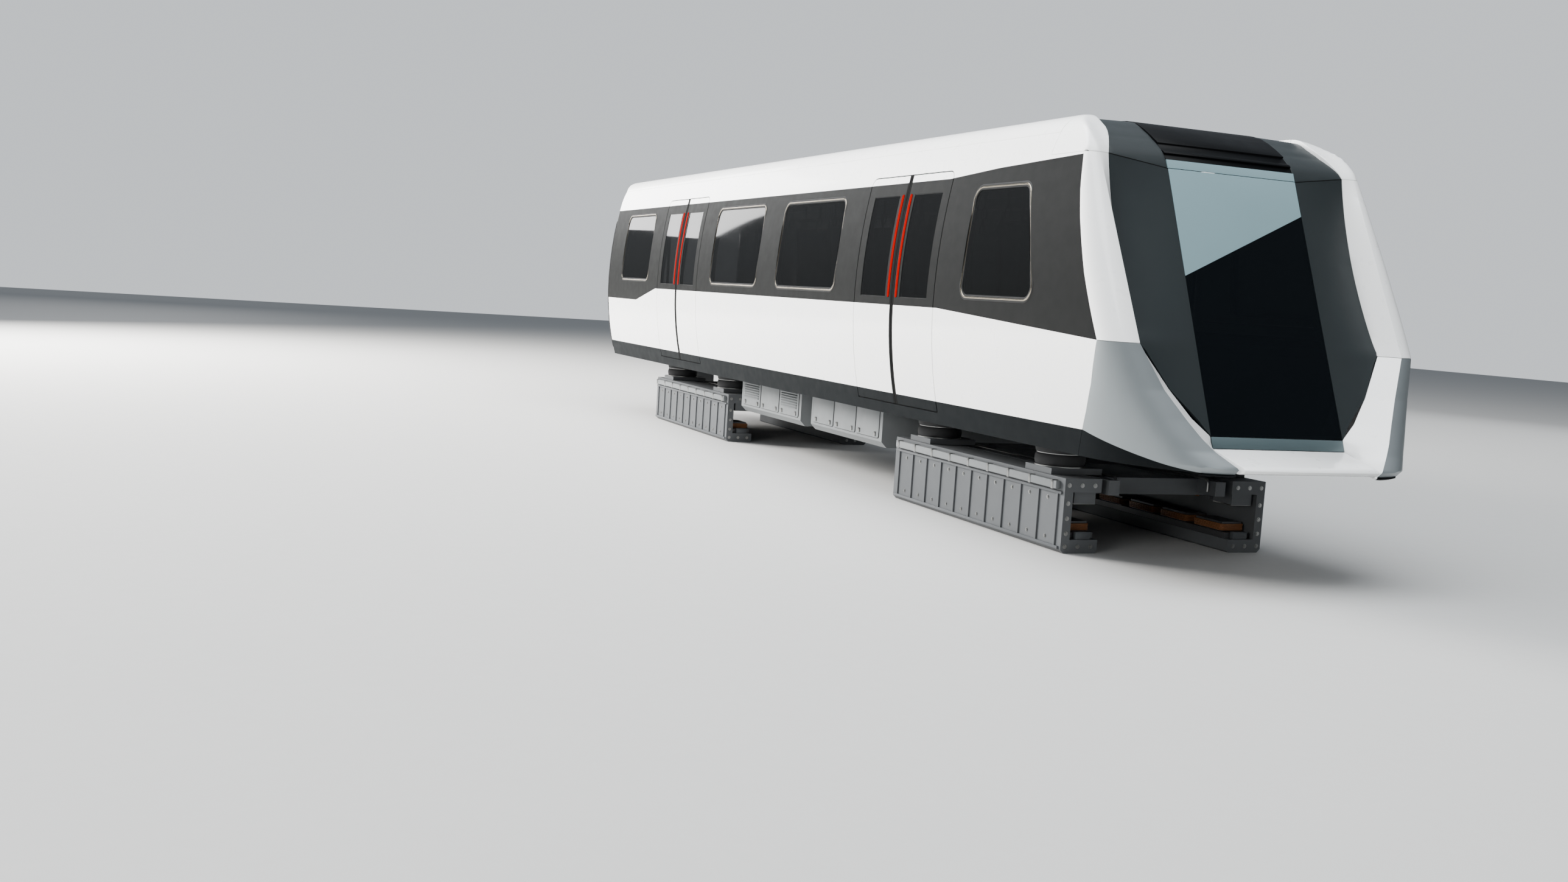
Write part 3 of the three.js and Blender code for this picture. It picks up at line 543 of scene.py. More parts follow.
# the body's surfaces: heights here start at the skirt's lower edge, which is skirtZ over the floor
hull = {
    "skirtZ": 0.85, "half": 1.425, "widest": 1.05, "lower": 0.136, "upper": 0.0945, "doorTop": 2.2,
    "fasciaHalf": 1.3, "fasciaLean": 0.217, "fasciaCurve": 0.57, "cantrail": 2.43, "crown": 2.62,
    "crownCurve": 0.0325, "shoulderY": 0.9675, "shoulderZ": 2.309, "shoulderR": 0.28, "flatHalf": 0.985,
    "rear": -6.7,
}
nose = {
    "screenX": 5.85, "screenTop": 2.18, "screenSlope": 0.408, "screenHalf": 0.6, "screenFoot": 0.232,
    "ridgeX": 5.825, "ridgeSlope": 0.512, "ridgeY": 1.2, "rimX": 5.80, "rimLean": 0.19, "rimSweep": 0.165,
    "rimY": 1.105, "archTop": 2.25, "cheekTop": 0.868, "stripFoot": 0.146, "browFrom": 5.05, "blend": 0.03,
    "arcCount": 30, "gap": 0.002, "skin": 0.012,
}
# how far the front edge swings fore and aft
lead = {"corner": 0.08, "ridge": 0.02, "rim": 0.025, "mask": 0.005}
browRows = [(5.0, 2.64), (5.15, 2.622), (5.25, 2.612), (5.35, 2.59), (5.43, 2.558), (5.505, 2.515),
            (5.60, 2.46), (5.69, 2.39), (5.773, 2.305), (5.80, 2.262), (5.844, 2.18), (5.90, 2.05)]


def lifted(x, y, z):
    return Vector((x, y, z + hull["skirtZ"]))


def lift(outline):
    return [(a, z + hull["skirtZ"]) for a, z in outline]


def halfAt(z):
    if z > hull["cantrail"]:
        return hull["shoulderY"] + math.sqrt(max(0, hull["shoulderR"] ** 2 - (z - hull["shoulderZ"]) ** 2))
    if z > hull["doorTop"]:
        rise = z - hull["doorTop"]
        return hull["fasciaHalf"] - hull["fasciaLean"] * rise - hull["fasciaCurve"] * rise * rise
    rise = z - hull["widest"]
    return hull["half"] - (hull["lower"] if rise < 0 else hull["upper"]) * rise * rise


def sidePlace(hand):
    return lambda x, z, depth: lifted(x, hand * (halfAt(z) - depth), z)


def rearPlace(y, z, depth):
    return lifted(hull["rear"] - depth, y, z)


shoulderTop = math.acos((hull["flatHalf"] - hull["shoulderY"]) / hull["shoulderR"])
shoulderEnd = math.asin((hull["cantrail"] - hull["shoulderZ"]) / hull["shoulderR"])
crownEdge = hull["flatHalf"] + hull["shoulderR"] * (shoulderTop - shoulderEnd)


def sectionAt(v):
    # (y, z) of the roof's section at a distance v from the middle, over the cantrail and down the side
    far, sign = abs(v), (1 if v >= 0 else -1)
    if far <= hull["flatHalf"]:
        return v, hull["crown"] - hull["crownCurve"] * v * v
    if far <= crownEdge:
        turn = shoulderTop - (far - hull["flatHalf"]) / hull["shoulderR"]
        return (sign * (hull["shoulderY"] + hull["shoulderR"] * math.cos(turn)),
                hull["shoulderZ"] + hull["shoulderR"] * math.sin(turn))
    z = hull["cantrail"] - (far - crownEdge)
    return sign * halfAt(z), z


def distanceAt(y):
    # the distance round that section at which it is y from the middle
    low, high = 0.9, 1.6
    for _ in range(30):
        middle = (low + high) / 2
        low, high = (middle, high) if sectionAt(middle)[0] < y else (low, middle)
    return low


def browHeight(x):
    # a smooth curve through browRows
    rows = browRows
    for i in range(1, len(rows) - 2):
        if x <= rows[i + 1][0]:
            (xa, a), (xb, b), (xc, c), (xd, d) = rows[i - 1], rows[i], rows[i + 1], rows[i + 2]
            t = (x - xb) / (xc - xb)
            slopeB, slopeC = (c - a) / (xc - xa) * (xc - xb), (d - b) / (xd - xb) * (xc - xb)
            return ((2 * t ** 3 - 3 * t ** 2 + 1) * b + (t ** 3 - 2 * t ** 2 + t) * slopeB
                    + (3 * t ** 2 - 2 * t ** 3) * c + (t ** 3 - t ** 2) * slopeC)
    return rows[-1][1]


def retreat(y):
    # how far the nose's front edge lies behind the windscreen's at a distance from the middle
    y = abs(y)
    ridge, rim, half = nose["ridgeY"], nose["rimY"], nose["screenHalf"]
    if y > ridge:
        share = min(1, (y - ridge) / (halfAt(nose["archTop"]) - ridge))
        return -lead["ridge"] + lead["corner"] * (1 - math.sqrt(1 - share * share))
    if y > rim:
        return -lead["ridge"] + lead["rim"] * (ridge - y) / (ridge - rim)
    return lead["mask"] * max(0, (y - half)) / (rim - half)


def topPoint(x, v):
    y, z = sectionAt(v)
    front = browHeight(x + retreat(y))
    soft = nose["blend"]
    gap = max(0, soft - abs(z - front)) / soft
    low = min(z, front) - gap * gap * soft / 4
    return lifted(x, y, z if x < nose["browFrom"] else low)


def topPlace(x, v, depth):
    at = topPoint(x, v)
    if not depth:
        return at
    reach = 0.004  # half the span over which the surface's slope is taken
    along = topPoint(x + reach, v) - topPoint(x - reach, v)
    across = topPoint(x, v + reach) - topPoint(x, v - reach)
    return at - along.cross(across).normalized() * depth


# side walls
cheekRows = [  # height, the seam's x, the rim's x and y, and the x and y of the cheek's inner edge
    (0.0, 5.990, 6.990, 0.640, 6.560, 0.605), (0.04, 6.010, 7.035, 0.640, 6.560, 0.605),
    (0.146, 6.066, 6.925, 0.770, 6.670, 0.605), (0.232, 6.108, 6.860, 0.845, 6.640, 0.605),
    (0.35, 6.170, 6.780, 0.925, 6.592, 0.742), (0.55, 6.252, 6.660, 1.050, 6.510, 0.902),
    (0.868, 6.322, 6.532, 1.200, 6.380, 1.105),
]
archRear = [(0.868, 6.322), (1.346, 6.081), (1.756, 5.908), (1.965, 5.831), (2.2, 5.765), (2.25, 5.745)]
bandLow = [(-6.8, 0.841), (-5.25, 0.841), (-4.35, 1.017), (3.85, 1.017), (6.33, 0.868), (6.6, 0.85)]
bandHigh = [(-6.8, 2.135), (3.73, 2.135), (4.56, 2.188), (5.73, 2.231), (6.0, 2.241)]
wall = {"skirtTop": 0.204, "horn": 5.3, "gap": 0.0015, "thick": 0.05, "linerDepth": 0.052,
        "linerThick": 0.018, "kinds": ["white", "band", "slate"]}
window = {"sill": 1.115, "head": 2.045, "corner": 0.11, "bead": 0.015, "proud": 0.005, "gasket": 0.015,
          "lip": 0.016, "glassDepth": 0.006, "glass": 0.012}
windowSpans = {"front": (4.25, 5.43, 5.12), "centre_front": (0.035, 1.65, 1.65),
               "centre_rear": (-2.135, -0.54, -0.54), "rear": (-6.045, -4.715, -4.715)}
windows = {name: [(a, window["sill"]), (b, window["sill"]), (c, window["head"]), (a, window["head"])]
           for name, (a, b, c) in windowSpans.items()}
doors = {"front": 2.97, "rear": -3.44}  # x of the seam between the leaves
door = {"half": 0.815, "foot": 0.114, "head": 2.2, "seal": 0.009, "glassIn": 0.15, "glassOut": 0.682,
        "sill": 1.09, "top": 2.021, "thick": 0.045, "stop": 0.025, "corner": 0.075, "rubber": 0.036,
        "stripeIn": 0.060, "stripeOut": 0.102, "stripeProud": 0.004, "tongue": 0.0013, "glass": 0.012}


def doorOutline(seamX, grow):
    outline = rectangle(seamX - door["half"] - grow, seamX + door["half"] + grow, door["foot"] - grow,
                        door["head"] + grow)
    return rounded(outline, door["corner"] + grow, 6, lambda x, z: z > 1)


def wallKind(x, z):
    if valueAt(bandLow, x) < z < valueAt(bandHigh, x):
        return wall["kinds"].index("band")
    return wall["kinds"].index("slate" if z < wall["skirtTop"] else "white")


wallLook = {"kinds": wall["kinds"], "choose": wallKind, "rows": steps(0.03, 2.4, 79),
            "lines": [bandLow, bandHigh, [(-6.8, wall["skirtTop"]), (6.6, wall["skirtTop"])]]}
linerZone = [(hull["rear"] + 0.02, 0.02), (5.9, 0.02), (5.9, 0.3), (6.2, 0.868), (5.72, 2.2), (5.3, 2.3),
             (hull["rear"] + 0.02, 2.3)]
panes = [rounded(corners, window["corner"]) for corners in windows.values()]
for side, hand in sides:
    gap = wall["gap"]
    seam = [(row[1] - gap, row[0]) for row in cheekRows[:-1]] + [(x - gap, z) for z, x in archRear]
    seam[-1] = (seam[-1][0], nose["archTop"] - gap)
    zone = [(hull["rear"], 0), *seam, (wall["horn"], nose["archTop"] - gap),
            (wall["horn"], hull["cantrail"] - gap), (hull["rear"], hull["cantrail"] - gap)]
    openings = panes + [doorOutline(seamX, door["seal"]) for seamX in doors.values()]
    panel(f"side_{side}_skin", zone, sidePlace(hand), holes=openings, thick=wall["thick"],
          columns=steps(-6.5, 6.0, 25), stands=[f"side_wall_{side}"], **wallLook)
    openings = [grown(pane, 0.004) for pane in panes]
    openings += [doorOutline(seamX, -door["stop"]) for seamX in doors.values()]
    panel(f"side_{side}_liner", linerZone, sidePlace(hand), ["liner"], openings, depth=wall["linerDepth"],
          thick=wall["linerThick"], edge=0.002, rows=steps(0.1, 2.3, 22), stands=[f"side_wall_{side}"])
print("side walls made")


# windows: a half round bead, a lip, a gasket and the pane, as (offset outward, depth) sections
bead, gasket, lip = -window["bead"], -window["bead"] - window["gasket"], window["lip"]
beadMiddle, beadHalf = (0.001 + bead) / 2, (0.001 - bead) / 2
beadRow = [(beadMiddle - beadHalf * math.cos(t), -window["proud"] * math.sin(t)) for t in halfTurn(8)]
windowSections = {
    "bead": ("champagne", [(bead, 0.03), *beadRow, (0.001, 0.03)]),
    "lip": ("gasket", [(0.0015, 0.004), (0.0015, -0.002), (0.004, -0.0035), (lip - 0.003, -0.0025),
                       (lip, 0.0), (lip, 0.004)]),
    "gasket": ("gasket", [(bead, 0.03), (gasket - 0.012, 0.03), (gasket - 0.012, 0.02), (gasket, 0.006),
                          (gasket, 0.001), (gasket + 0.004, -0.001), (bead - 0.002, -0.001), (bead, 0.001)]),
}
for side, hand in sides:
    for name, corners in windows.items():
        node = f"window_{name}_{side}"
        outline = rounded(corners, window["corner"], 10)
        for part, (kind, section) in windowSections.items():
            band(f"{node}_{part}", outline, sidePlace(hand), section, kind, [node])
        panel(f"{node}_glass", grown(outline, gasket + 0.002), sidePlace(hand), ["glass"],
              depth=window["glassDepth"], thick=window["glass"], edge=0, rows=steps(1.15, 2.05, 15),
              stands=[node])
print("windows made")


# doors: painted leaf, glass, rubber edges and a red stripe beside the seam
paneSeal = [(-0.0005, 0.03), (-0.014, 0.03), (-0.014, 0.02), (-0.004, 0.008), (-0.004, 0.003),
            (-0.0005, 0.003)]
frameSeal = [(0.0085, 0.045), (0.0005, 0.045), (0.0005, 0.009), (0.002, 0.007), (0.007, 0.007),
             (0.0085, 0.009)]


def leafSpan(seamX, way, near, far, low, high):
    # a rectangle between two distances from the seam, on one leaf
    a, b = sorted((seamX + way * near, seamX + way * far))
    return rectangle(a, b, low, high)


for side, hand in sides:
    place = sidePlace(hand)
    for name, seamX in doors.items():
        for end, way in ends:
            node = f"door_{name}_{side}_leaf_{end}"
            leaf = leafSpan(seamX, way, door["rubber"], door["half"] - 0.001, door["foot"], door["head"])
            zone = rounded(leaf, door["corner"], 6, lambda x, z: z > 1 and abs(x - seamX) > 0.5)
            glassHole = leafSpan(seamX, way, door["glassIn"], door["glassOut"], door["sill"], door["top"])
            panel(f"{node}_skin", zone, place, holes=[glassHole], thick=door["thick"], stands=[node],
                  **wallLook)
            stripe = rounded(leafSpan(seamX, way, door["stripeIn"], door["stripeOut"], door["sill"] - 0.004,
                                      door["top"] + 0.008), 0.02, 5)
            panel(f"{node}_stripe", stripe, place, ["red"], depth=-door["stripeProud"],
                  thick=door["stripeProud"] + 0.001, edge=0.003, rows=wallLook["rows"], stands=[node])
            rubber = leafSpan(seamX, way, 0.0015, door["rubber"] - 0.001, door["foot"], door["head"])
            panel(f"{node}_edge", rubber, place, ["seam"], depth=-0.0005, thick=door["thick"] - 0.002,
                  rows=wallLook["rows"], stands=[node])
            band(f"{node}_seal", glassHole, place, paneSeal, "gasket", [f"{node}_pane"])
            panel(f"{node}_glass", grown(glassHole, -0.003), place, ["glass"], depth=0.004,
                  thick=door["glass"], edge=0, rows=steps(1.1, 2.0, 14), stands=[f"{node}_pane"])
        band(f"door_{name}_{side}_frame_seal", doorOutline(seamX, 0), place, frameSeal, "seam")
        tongue = rectangle(seamX - door["tongue"], seamX + door["tongue"], door["foot"] + 0.002,
                           door["head"] - 0.002)
        panel(f"door_{name}_{side}_seam_tongue", tongue, place, ["seam"], depth=0.006, thick=0.03, edge=0,
              rows=wallLook["rows"])
print("doors made")


# nose: arches, cheeks and masks, each side a grid of points
def ridgeAt(z):
    return nose["ridgeX"] + nose["ridgeSlope"] * (nose["archTop"] - z)


def rimAt(z):
    drop = nose["archTop"] - z
    return nose["rimX"] + nose["rimLean"] * drop + nose["rimSweep"] * drop * drop


def screenAt(z):
    return nose["screenX"] + nose["screenSlope"] * (nose["screenTop"] - z)


def screenPlace(y, z, depth):
    return lifted(screenAt(z) - depth, y, z)


def cornerArc(seam, half, ridgeX, ridgeY, count):
    return [(seam + (ridgeX - seam) * math.sin(a), ridgeY + (half - ridgeY) * math.cos(a))
            for a in steps(0, math.pi / 2, count)]


def rowAt(rows, z):
    for low, high in zip(rows, rows[1:]):
        if z <= high[0] + 1e-9:
            t = (z - low[0]) / (high[0] - low[0])
            return [a + (b - a) * t for a, b in zip(low, high)]
    return list(rows[-1])


def cheekLine(z):
    # (x, y) points round the cheek at a height, from the side wall's seam to the rim and in to its edge
    _, seam, rimX, rimY, edgeX, edgeY = rowAt(cheekRows, z)
    arc = cornerArc(seam + wall["gap"], halfAt(z), rimX, rimY, nose["arcCount"])
    return arc + [(rimX + (edgeX - rimX) * t, rimY + (edgeY + nose["gap"] - rimY) * t)
                  for t in (0.1, 0.4, 0.7, 1)]


slate = {"from": 6.10, "drop": 0.25, "rows": 24}  # the dark foot of the cheek sinks ahead of this x
mask = {"bend": 0.84, "bendLong": 0.12, "lift": 2.0, "curve": 1.25, "thick": 0.02, "seam": 0.0028,
        "edge": [(0.232, 0.605), (0.34, 0.69), (0.55, 0.90), (0.84, 1.07), (0.868, 1.105), (2.3, 1.105)]}
half = nose["screenHalf"]
maskTops = {}
for side, hand in sides:
    grid = []
    for z in steps(nose["cheekTop"] + nose["gap"], nose["archTop"] - nose["gap"], 44):
        ridge, rim, inY = ridgeAt(z), rimAt(z), nose["rimY"] + nose["gap"]
        arc = cornerArc(valueAt(archRear, z) + wall["gap"], halfAt(z), ridge, nose["ridgeY"],
                        nose["arcCount"])
        arc += [(ridge + (rim - ridge) * t, nose["ridgeY"] + (inY - nose["ridgeY"]) * t)
                for t in (0.33, 0.66, 1)]
        arc.append((rim - 0.05, inY))
        grid.append([lifted(x, hand * y, z) for x, y in arc])
    sheetGrid(f"nose_arch_{side}_skin", grid, nose["skin"], ["white"], stands=[f"nose_arch_{side}"],
              flip=-hand)

    columns = []
    for c in range(nose["arcCount"] + 5):
        foot = wall["skirtTop"]
        for _ in range(6):
            foot = wall["skirtTop"] - max(0, cheekLine(foot)[c][0] - slate["from"]) * slate["drop"]
        levels = steps(0.0, foot, slate["rows"]) + steps(foot, nose["cheekTop"] - nose["gap"], 70)[1:]
        columns.append([lifted(cheekLine(z)[c][0], hand * cheekLine(z)[c][1], z) for z in levels])
    sheetGrid(f"nose_cheek_{side}_skin", [list(row) for row in zip(*columns)], nose["skin"],
              ["silver", "white", "slate"],
              lambda r, c: 1 if c >= nose["arcCount"] else (2 if r < slate["rows"] else 0),
              stands=[f"nose_cheek_{side}"], flip=-hand)

    grid = []
    for zIn in steps(nose["screenFoot"], nose["screenTop"], 50):
        top = max(0, (zIn - mask["lift"]) / (nose["screenTop"] - mask["lift"]))
        zOut = zIn + top * (nose["archTop"] - nose["screenTop"])
        start, reach = screenAt(zIn), screenAt(zOut)
        inner, outer = half + 0.003, valueAt(mask["edge"], zOut) - nose["gap"]
        if zOut > mask["bend"]:
            share = min(1, (zOut - mask["bend"]) / mask["bendLong"])
            reach += (rimAt(zOut) - reach) * (3 * share ** 2 - 2 * share ** 3)
        grid.append([lifted(start + (reach - start) * t ** mask["curve"],
                            hand * (inner + (outer - inner) * t), zIn + (zOut - zIn) * t)
                     for t in steps(0, 1, 12)])
    sheetGrid(f"nose_mask_{side}_skin", grid, mask["thick"], ["mask"], stands=[f"nose_mask_{side}"],
              flip=hand)
    maskTops[side] = grid[-1]

# above the slanting line the windscreen is pale teal: a painted reflection
screen = {"thick": 0.014, "edge": 0.002, "reflectionLine": [(-0.8, 1.288), (0.8, 1.998)]}
panel("windscreen_glass", rectangle(-half, half, nose["screenFoot"], nose["screenTop"]), screenPlace,
      ["screen", "paintedReflection"], thick=screen["thick"], edge=screen["edge"], lines=[screen["reflectionLine"]],
      choose=lambda y, z: int(z > valueAt(screen["reflectionLine"], y)), stands=["windscreen"])


# brow: dark panels sunk behind the white rim, level with it at the front seam
recess = {"rear": 4.95, "half": 0.985, "depth": 0.028, "front": 5.80, "ramp": 0.16}
browEdge = [(5.303, 0.985), (5.42, 0.988), (5.50, 0.993), (5.57, 1.002), (5.63, 1.018), (5.69, 1.043),
            (5.74, 1.07), (5.78, 1.093), (5.804, 1.1035)]
browLook = {"thick": 0.03, "rows": steps(-1.5, 1.5, 75), "columns": steps(4.98, 5.86, 44), "crease": 40}


def browPlace(x, v, depth):
    sunk = recess["depth"] * min(1, max(0, (recess["front"] - x) / recess["ramp"]))
    return topPlace(x, v, depth + sunk)


for side, hand in sides:
    rear, near = recess["rear"] + 0.002, half + 0.002
    zone = [(rear, near), (rear, recess["half"] - 0.003),
            *[(x, distanceAt(y) - 0.002) for x, y in browEdge[1:]], (5.843, near)]
    panel(f"nose_brow_{side}", [(x, hand * v) for x, v in zone], browPlace, ["mask"], stands=["nose_brow"],
          **browLook)
hornFront = [(5.8055 - retreat(y), distanceAt(y)) for y in steps(nose["rimY"], halfAt(nose["archTop"]), 12)]
hornFront[-1] = (hornFront[-1][0], crownEdge + hull["cantrail"] - nose["archTop"] - 0.001)
for side, hand in sides:
    zone = [*[(x, distanceAt(y) + 0.001) for x, y in browEdge[:-1]], *hornFront, (5.3025, hornFront[-1][1])]
    panel(f"nose_horn_{side}", [(x, hand * v) for x, v in zone], topPlace, ["white"], stands=["roof"],
          **browLook)


# between the brows a stepped visor, under the windscreen the sill strip and the chin
visorSteps = [(4.952, 2.589), (5.14, 2.589), (5.25, 2.582), (5.303, 2.573), (5.40, 2.546), (5.50, 2.50),
              (5.60, 2.443), (5.689, 2.386), (5.684, 2.374), (5.735, 2.33), (5.768, 2.318), (5.786, 2.300),
              (5.774, 2.292), (5.80, 2.262), (5.812, 2.25), (5.78, 2.25), (5.70, 2.30), (5.60, 2.38),
              (5.50, 2.44), (5.303, 2.52), (4.952, 2.56)]
chinShape = [(6.56, 0.002), (6.99, 0.002), (7.03, 0.012), (7.048, 0.032), (7.035, 0.048), (7.0, 0.062),
             (6.68, 0.144), (6.56, 0.144)]
strip = [(screenAt(nose["stripFoot"]), nose["stripFoot"] + 0.003),
         (screenAt(nose["screenFoot"]), nose["screenFoot"] - 0.003)]
stripShape = [(strip[0][0] - 0.07, strip[0][1]), *strip, (strip[1][0] - 0.07, strip[1][1])]
solid("nose_visor_ribs", [sweptShape(lift(visorSteps), "y", -half, half, 0.0025)], "gloss",
      stands=["nose_visor"])
# the visor glass carries the same pale teal painted reflection as the windscreen's top
panel("nose_visor_glass", rectangle(-half, half, nose["screenTop"] + 0.004, nose["archTop"] - 0.001),
      screenPlace, ["paintedReflection"], thick=screen["thick"], edge=screen["edge"], stands=["nose_visor"])
solid("nose_sill_skin", [sweptShape(lift(stripShape), "y", -half, half, 0.002)], "sill",
      stands=["nose_sill_strip"])
solid("nose_chin_skin", [sweptShape(lift(chinShape), "y", -half - 0.003, half + 0.003, 0.003)], "white",
      stands=["nose_chin"])
print("nose made")


# roof: four white panels with hatches and grilles let in
roof = {"joints": (-3.4, 0.0, 3.2, 5.2985), "gap": 0.003, "seam": 0.001, "lean": 0.12, "corner": 0.13,
        "thick": 0.03, "rows": [0, *steps(0.1, 0.9, 8), *steps(hull["flatHalf"], crownEdge, 16)]}
hatch = {"starts": (-2.6, 0.8), "long": 1.7, "half": 0.52, "grilleLong": 0.42, "apart": 0.06, "corner": 0.04,
         "gap": 0.004, "lid": 0.022, "slats": 15, "slatStep": 0.0265}
roofRows = sorted({-v for v in roof["rows"]} | set(roof["rows"]))
tail = hull["rear"] - roof["lean"]
hatchLoops = []
for start in hatch["starts"]:
    grille = start + hatch["long"] + hatch["apart"]
    for a, b in ((start, start + hatch["long"]), (grille, grille + hatch["grilleLong"])):
        hatchLoops.append(rounded(rectangle(a, b, -hatch["half"], hatch["half"]), hatch["corner"], 6))
for i, (a, b) in enumerate(zip((tail, *roof["joints"]), roof["joints"])):
    first, last = i == 0, b == roof["joints"][-1]
    rear, front, edge = (hull["rear"] if first else a), b - roof["gap"], crownEdge - roof["seam"]
    zone = [(rear, -edge), (front, -edge), (front, edge), (rear, edge)]
    if first:
        zone += [(a, crownEdge - roof["corner"]), (a, roof["corner"] - crownEdge)]
    if last:
        zone[2:2] = [(front, -recess["half"]), (recess["rear"], -recess["half"]),
                     (recess["rear"], recess["half"]), (front, recess["half"])]
    openings = [loop for loop in hatchLoops if a < loop[0][0] < b]
    panel(f"roof_panel_{i + 1}", zone, topPlace, ["white"], openings, thick=roof["thick"], rows=roofRows,
          columns=steps(5.0, 5.28, 14) if last else [], stands=["roof"])
for i, loop in enumerate(hatchLoops):
    if i % 2 == 0:
        panel(f"roof_hatch_{i // 2 + 1}", grown(loop, -hatch["gap"]), topPlace, ["white"], thick=hatch["lid"],
              rows=roofRows)
    panel(f"roof_hatch_tray_{i + 1}", grown(loop, 0.01), topPlace, ["gasket"], depth=0.031, thick=0.004,
          edge=0, rows=roofRows)
    band(f"roof_hatch_seal_{i + 1}", loop, topPlace,
         [(-0.0002, 0.03), (-0.0002, 0.006), (-0.0035, 0.006), (-0.0035, 0.03)], "gasket")
for i, start in enumerate(hatch["starts"]):
    x, z = start + hatch["long"] + 0.075, hull["crown"] + hull["skirtZ"] - 0.012
    slat = sweptShape([(x, z - 0.018), (x + 0.004, z - 0.018), (x + 0.022, z), (x + 0.018, z)], "y",
                      -hatch["half"] + 0.006, hatch["half"] - 0.006, 0.001)
    repeated(f"roof_grille_{i + 1}", slat, "box", hatch["slats"], (hatch["slatStep"], 0, 0))
for side, points in maskTops.items():
    pipe(f"nose_mask_{side}_seam", points, mask["seam"], "seam", 0.001)
print("roof made")


# gangway: rubber folds on a tube, with its frames and bolts
gangway = {"depth": 0.3497, "folds": 7, "inset": 0.1, "crest": 0.025, "wall": 0.055, "head": 2.06,
           "foot": 0.08, "cornerHigh": 0.14, "cornerLow": 0.05, "boltStep": 0.17, "boltDepth": 0.3485}
flank = [(halfAt(z) - gangway["inset"], z) for z in (*steps(gangway["foot"], 1.8, 8), gangway["head"])]
ring = rounded(flank + [(-y, z) for y, z in reversed(flank)], gangway["cornerHigh"], 7, lambda y, z: z > 2)
ring = rounded(ring, gangway["cornerLow"], 4, lambda y, z: z < 0.09)
pitch = gangway["depth"] / gangway["folds"]
fold = [(gangway["crest"] * math.sin(t) - 0.002, pitch * (0.5 - 0.44 * math.cos(t))) for t in halfTurn(10)]
fold += [(-0.01, pitch * 0.94), (-0.01, pitch * 0.06)]
repeated("gangway_folds", ringShape(ring, rearPlace, fold), "bellows", gangway["folds"], (-pitch, 0, 0),
         stands=["gangway_bellows"], crease=50)
gangwayRings = {  # finish, outer and inner edge, near and far depth, node
    "tube": ("bellows", 0, -gangway["wall"], 0.001, 0.345, ["gangway_bellows"]),
    "lining": ("liner", -gangway["wall"], -gangway["wall"] - 0.004, 0.002, 0.344, ()),
    "end_frame": ("pole", 0.012, -0.05, 0.333, gangway["depth"], ["gangway_bellows"]),
    "mount_frame": ("steel", 0.024, -0.004, 0.0005, 0.012, ()),
}
for name, (kind, outer, inner, near, far, stands) in gangwayRings.items():
    section = [(outer, near), (outer, far), (inner, far), (inner, near)]
    band(f"gangway_{name}", ring, rearPlace, section, kind, stands)
spots, run = [], 0.0
middle = grown(ring, -0.02)
for a, b in zip(middle, middle[1:] + middle[:1]):
    reach = math.dist(a, b)
    while run < reach:
        t = run / reach
        spots.append(rearPlace(a[0] + (b[0] - a[0]) * t, a[1] + (b[1] - a[1]) * t, gangway["boltDepth"]))
        run += gangway["boltStep"]
    run -= reach
bolts("gangway_frame_bolts", spots, (-1, 0, 0), 0.015, 0.0024)

# passage through the rear wall: boxes are x, y and z ranges over the floor, and the width of the edges
passage = {"jamb": ((-6.712, -6.618), (0.612, 0.66), (1.0, 2.85), 0.003),
           "post": ((-6.63, -6.618), (0.612, 0.66), (1.0, 2.97), 0.003),
           "lintel": ((-6.69, -6.618), (-0.66, 0.66), (2.922, 2.97), 0.003),
           "seal": ((-6.716, -6.711), (0.62, 0.635), (1.0, 2.84), 0.002)}
bridge = {"plate": ((-7.035, -6.56), (-0.6, 0.6), (1.0005, 1.006), 0.0015),
          "tread": ((-7.02, -7.012), (-0.58, 0.58), (1.0058, 1.0085), 0.001), "treads": 19,
          "treadStep": 0.0245, "screw": (-6.575, 0.54, 1.006)}
cabinet = {"": ((-6.631, -6.5), (0.72, 1.19), (1.01, 2.82), 0.008),
           "_door": ((-6.502, -6.494), (0.75, 1.16), (1.06, 2.76), 0.003)}
grab = {"y": 0.685, "run": [(-6.62, 1.75), (-6.56, 1.75), (-6.56, 2.45), (-6.62, 2.45)], "radius": 0.015,
        "bend": 0.03}
trim = [boxShape(passage[part], hand=hand) for part in ("jamb", "post") for side, hand in sides]
solid("passage_trim", [*trim, boxShape(passage["lintel"])], "pole")
solid("passage_seal", [boxShape(passage["seal"], hand=hand) for side, hand in sides], "gasket")
solid("bridge_plate", [boxShape(bridge["plate"])], "steel")
repeated("bridge_plate_treads", boxShape(bridge["tread"]), "steel", bridge["treads"],
         (bridge["treadStep"], 0, 0))
x, reach, z = bridge["screw"]
bolts("bridge_plate_screws", [(x, y, z) for y in steps(-reach, reach, 6)], (0, 0, 1), 0.014, 0.002)
for side, hand in sides:
    for part, size in cabinet.items():
        solid(f"rear_cabinet_{side}{part}", [boxShape(size, hand=hand)], "liner")
    pipe(f"rear_grab_{side}", [(x, hand * grab["y"], z) for x, z in grab["run"]], grab["radius"], "pole",
         grab["bend"])
print("gangway made")


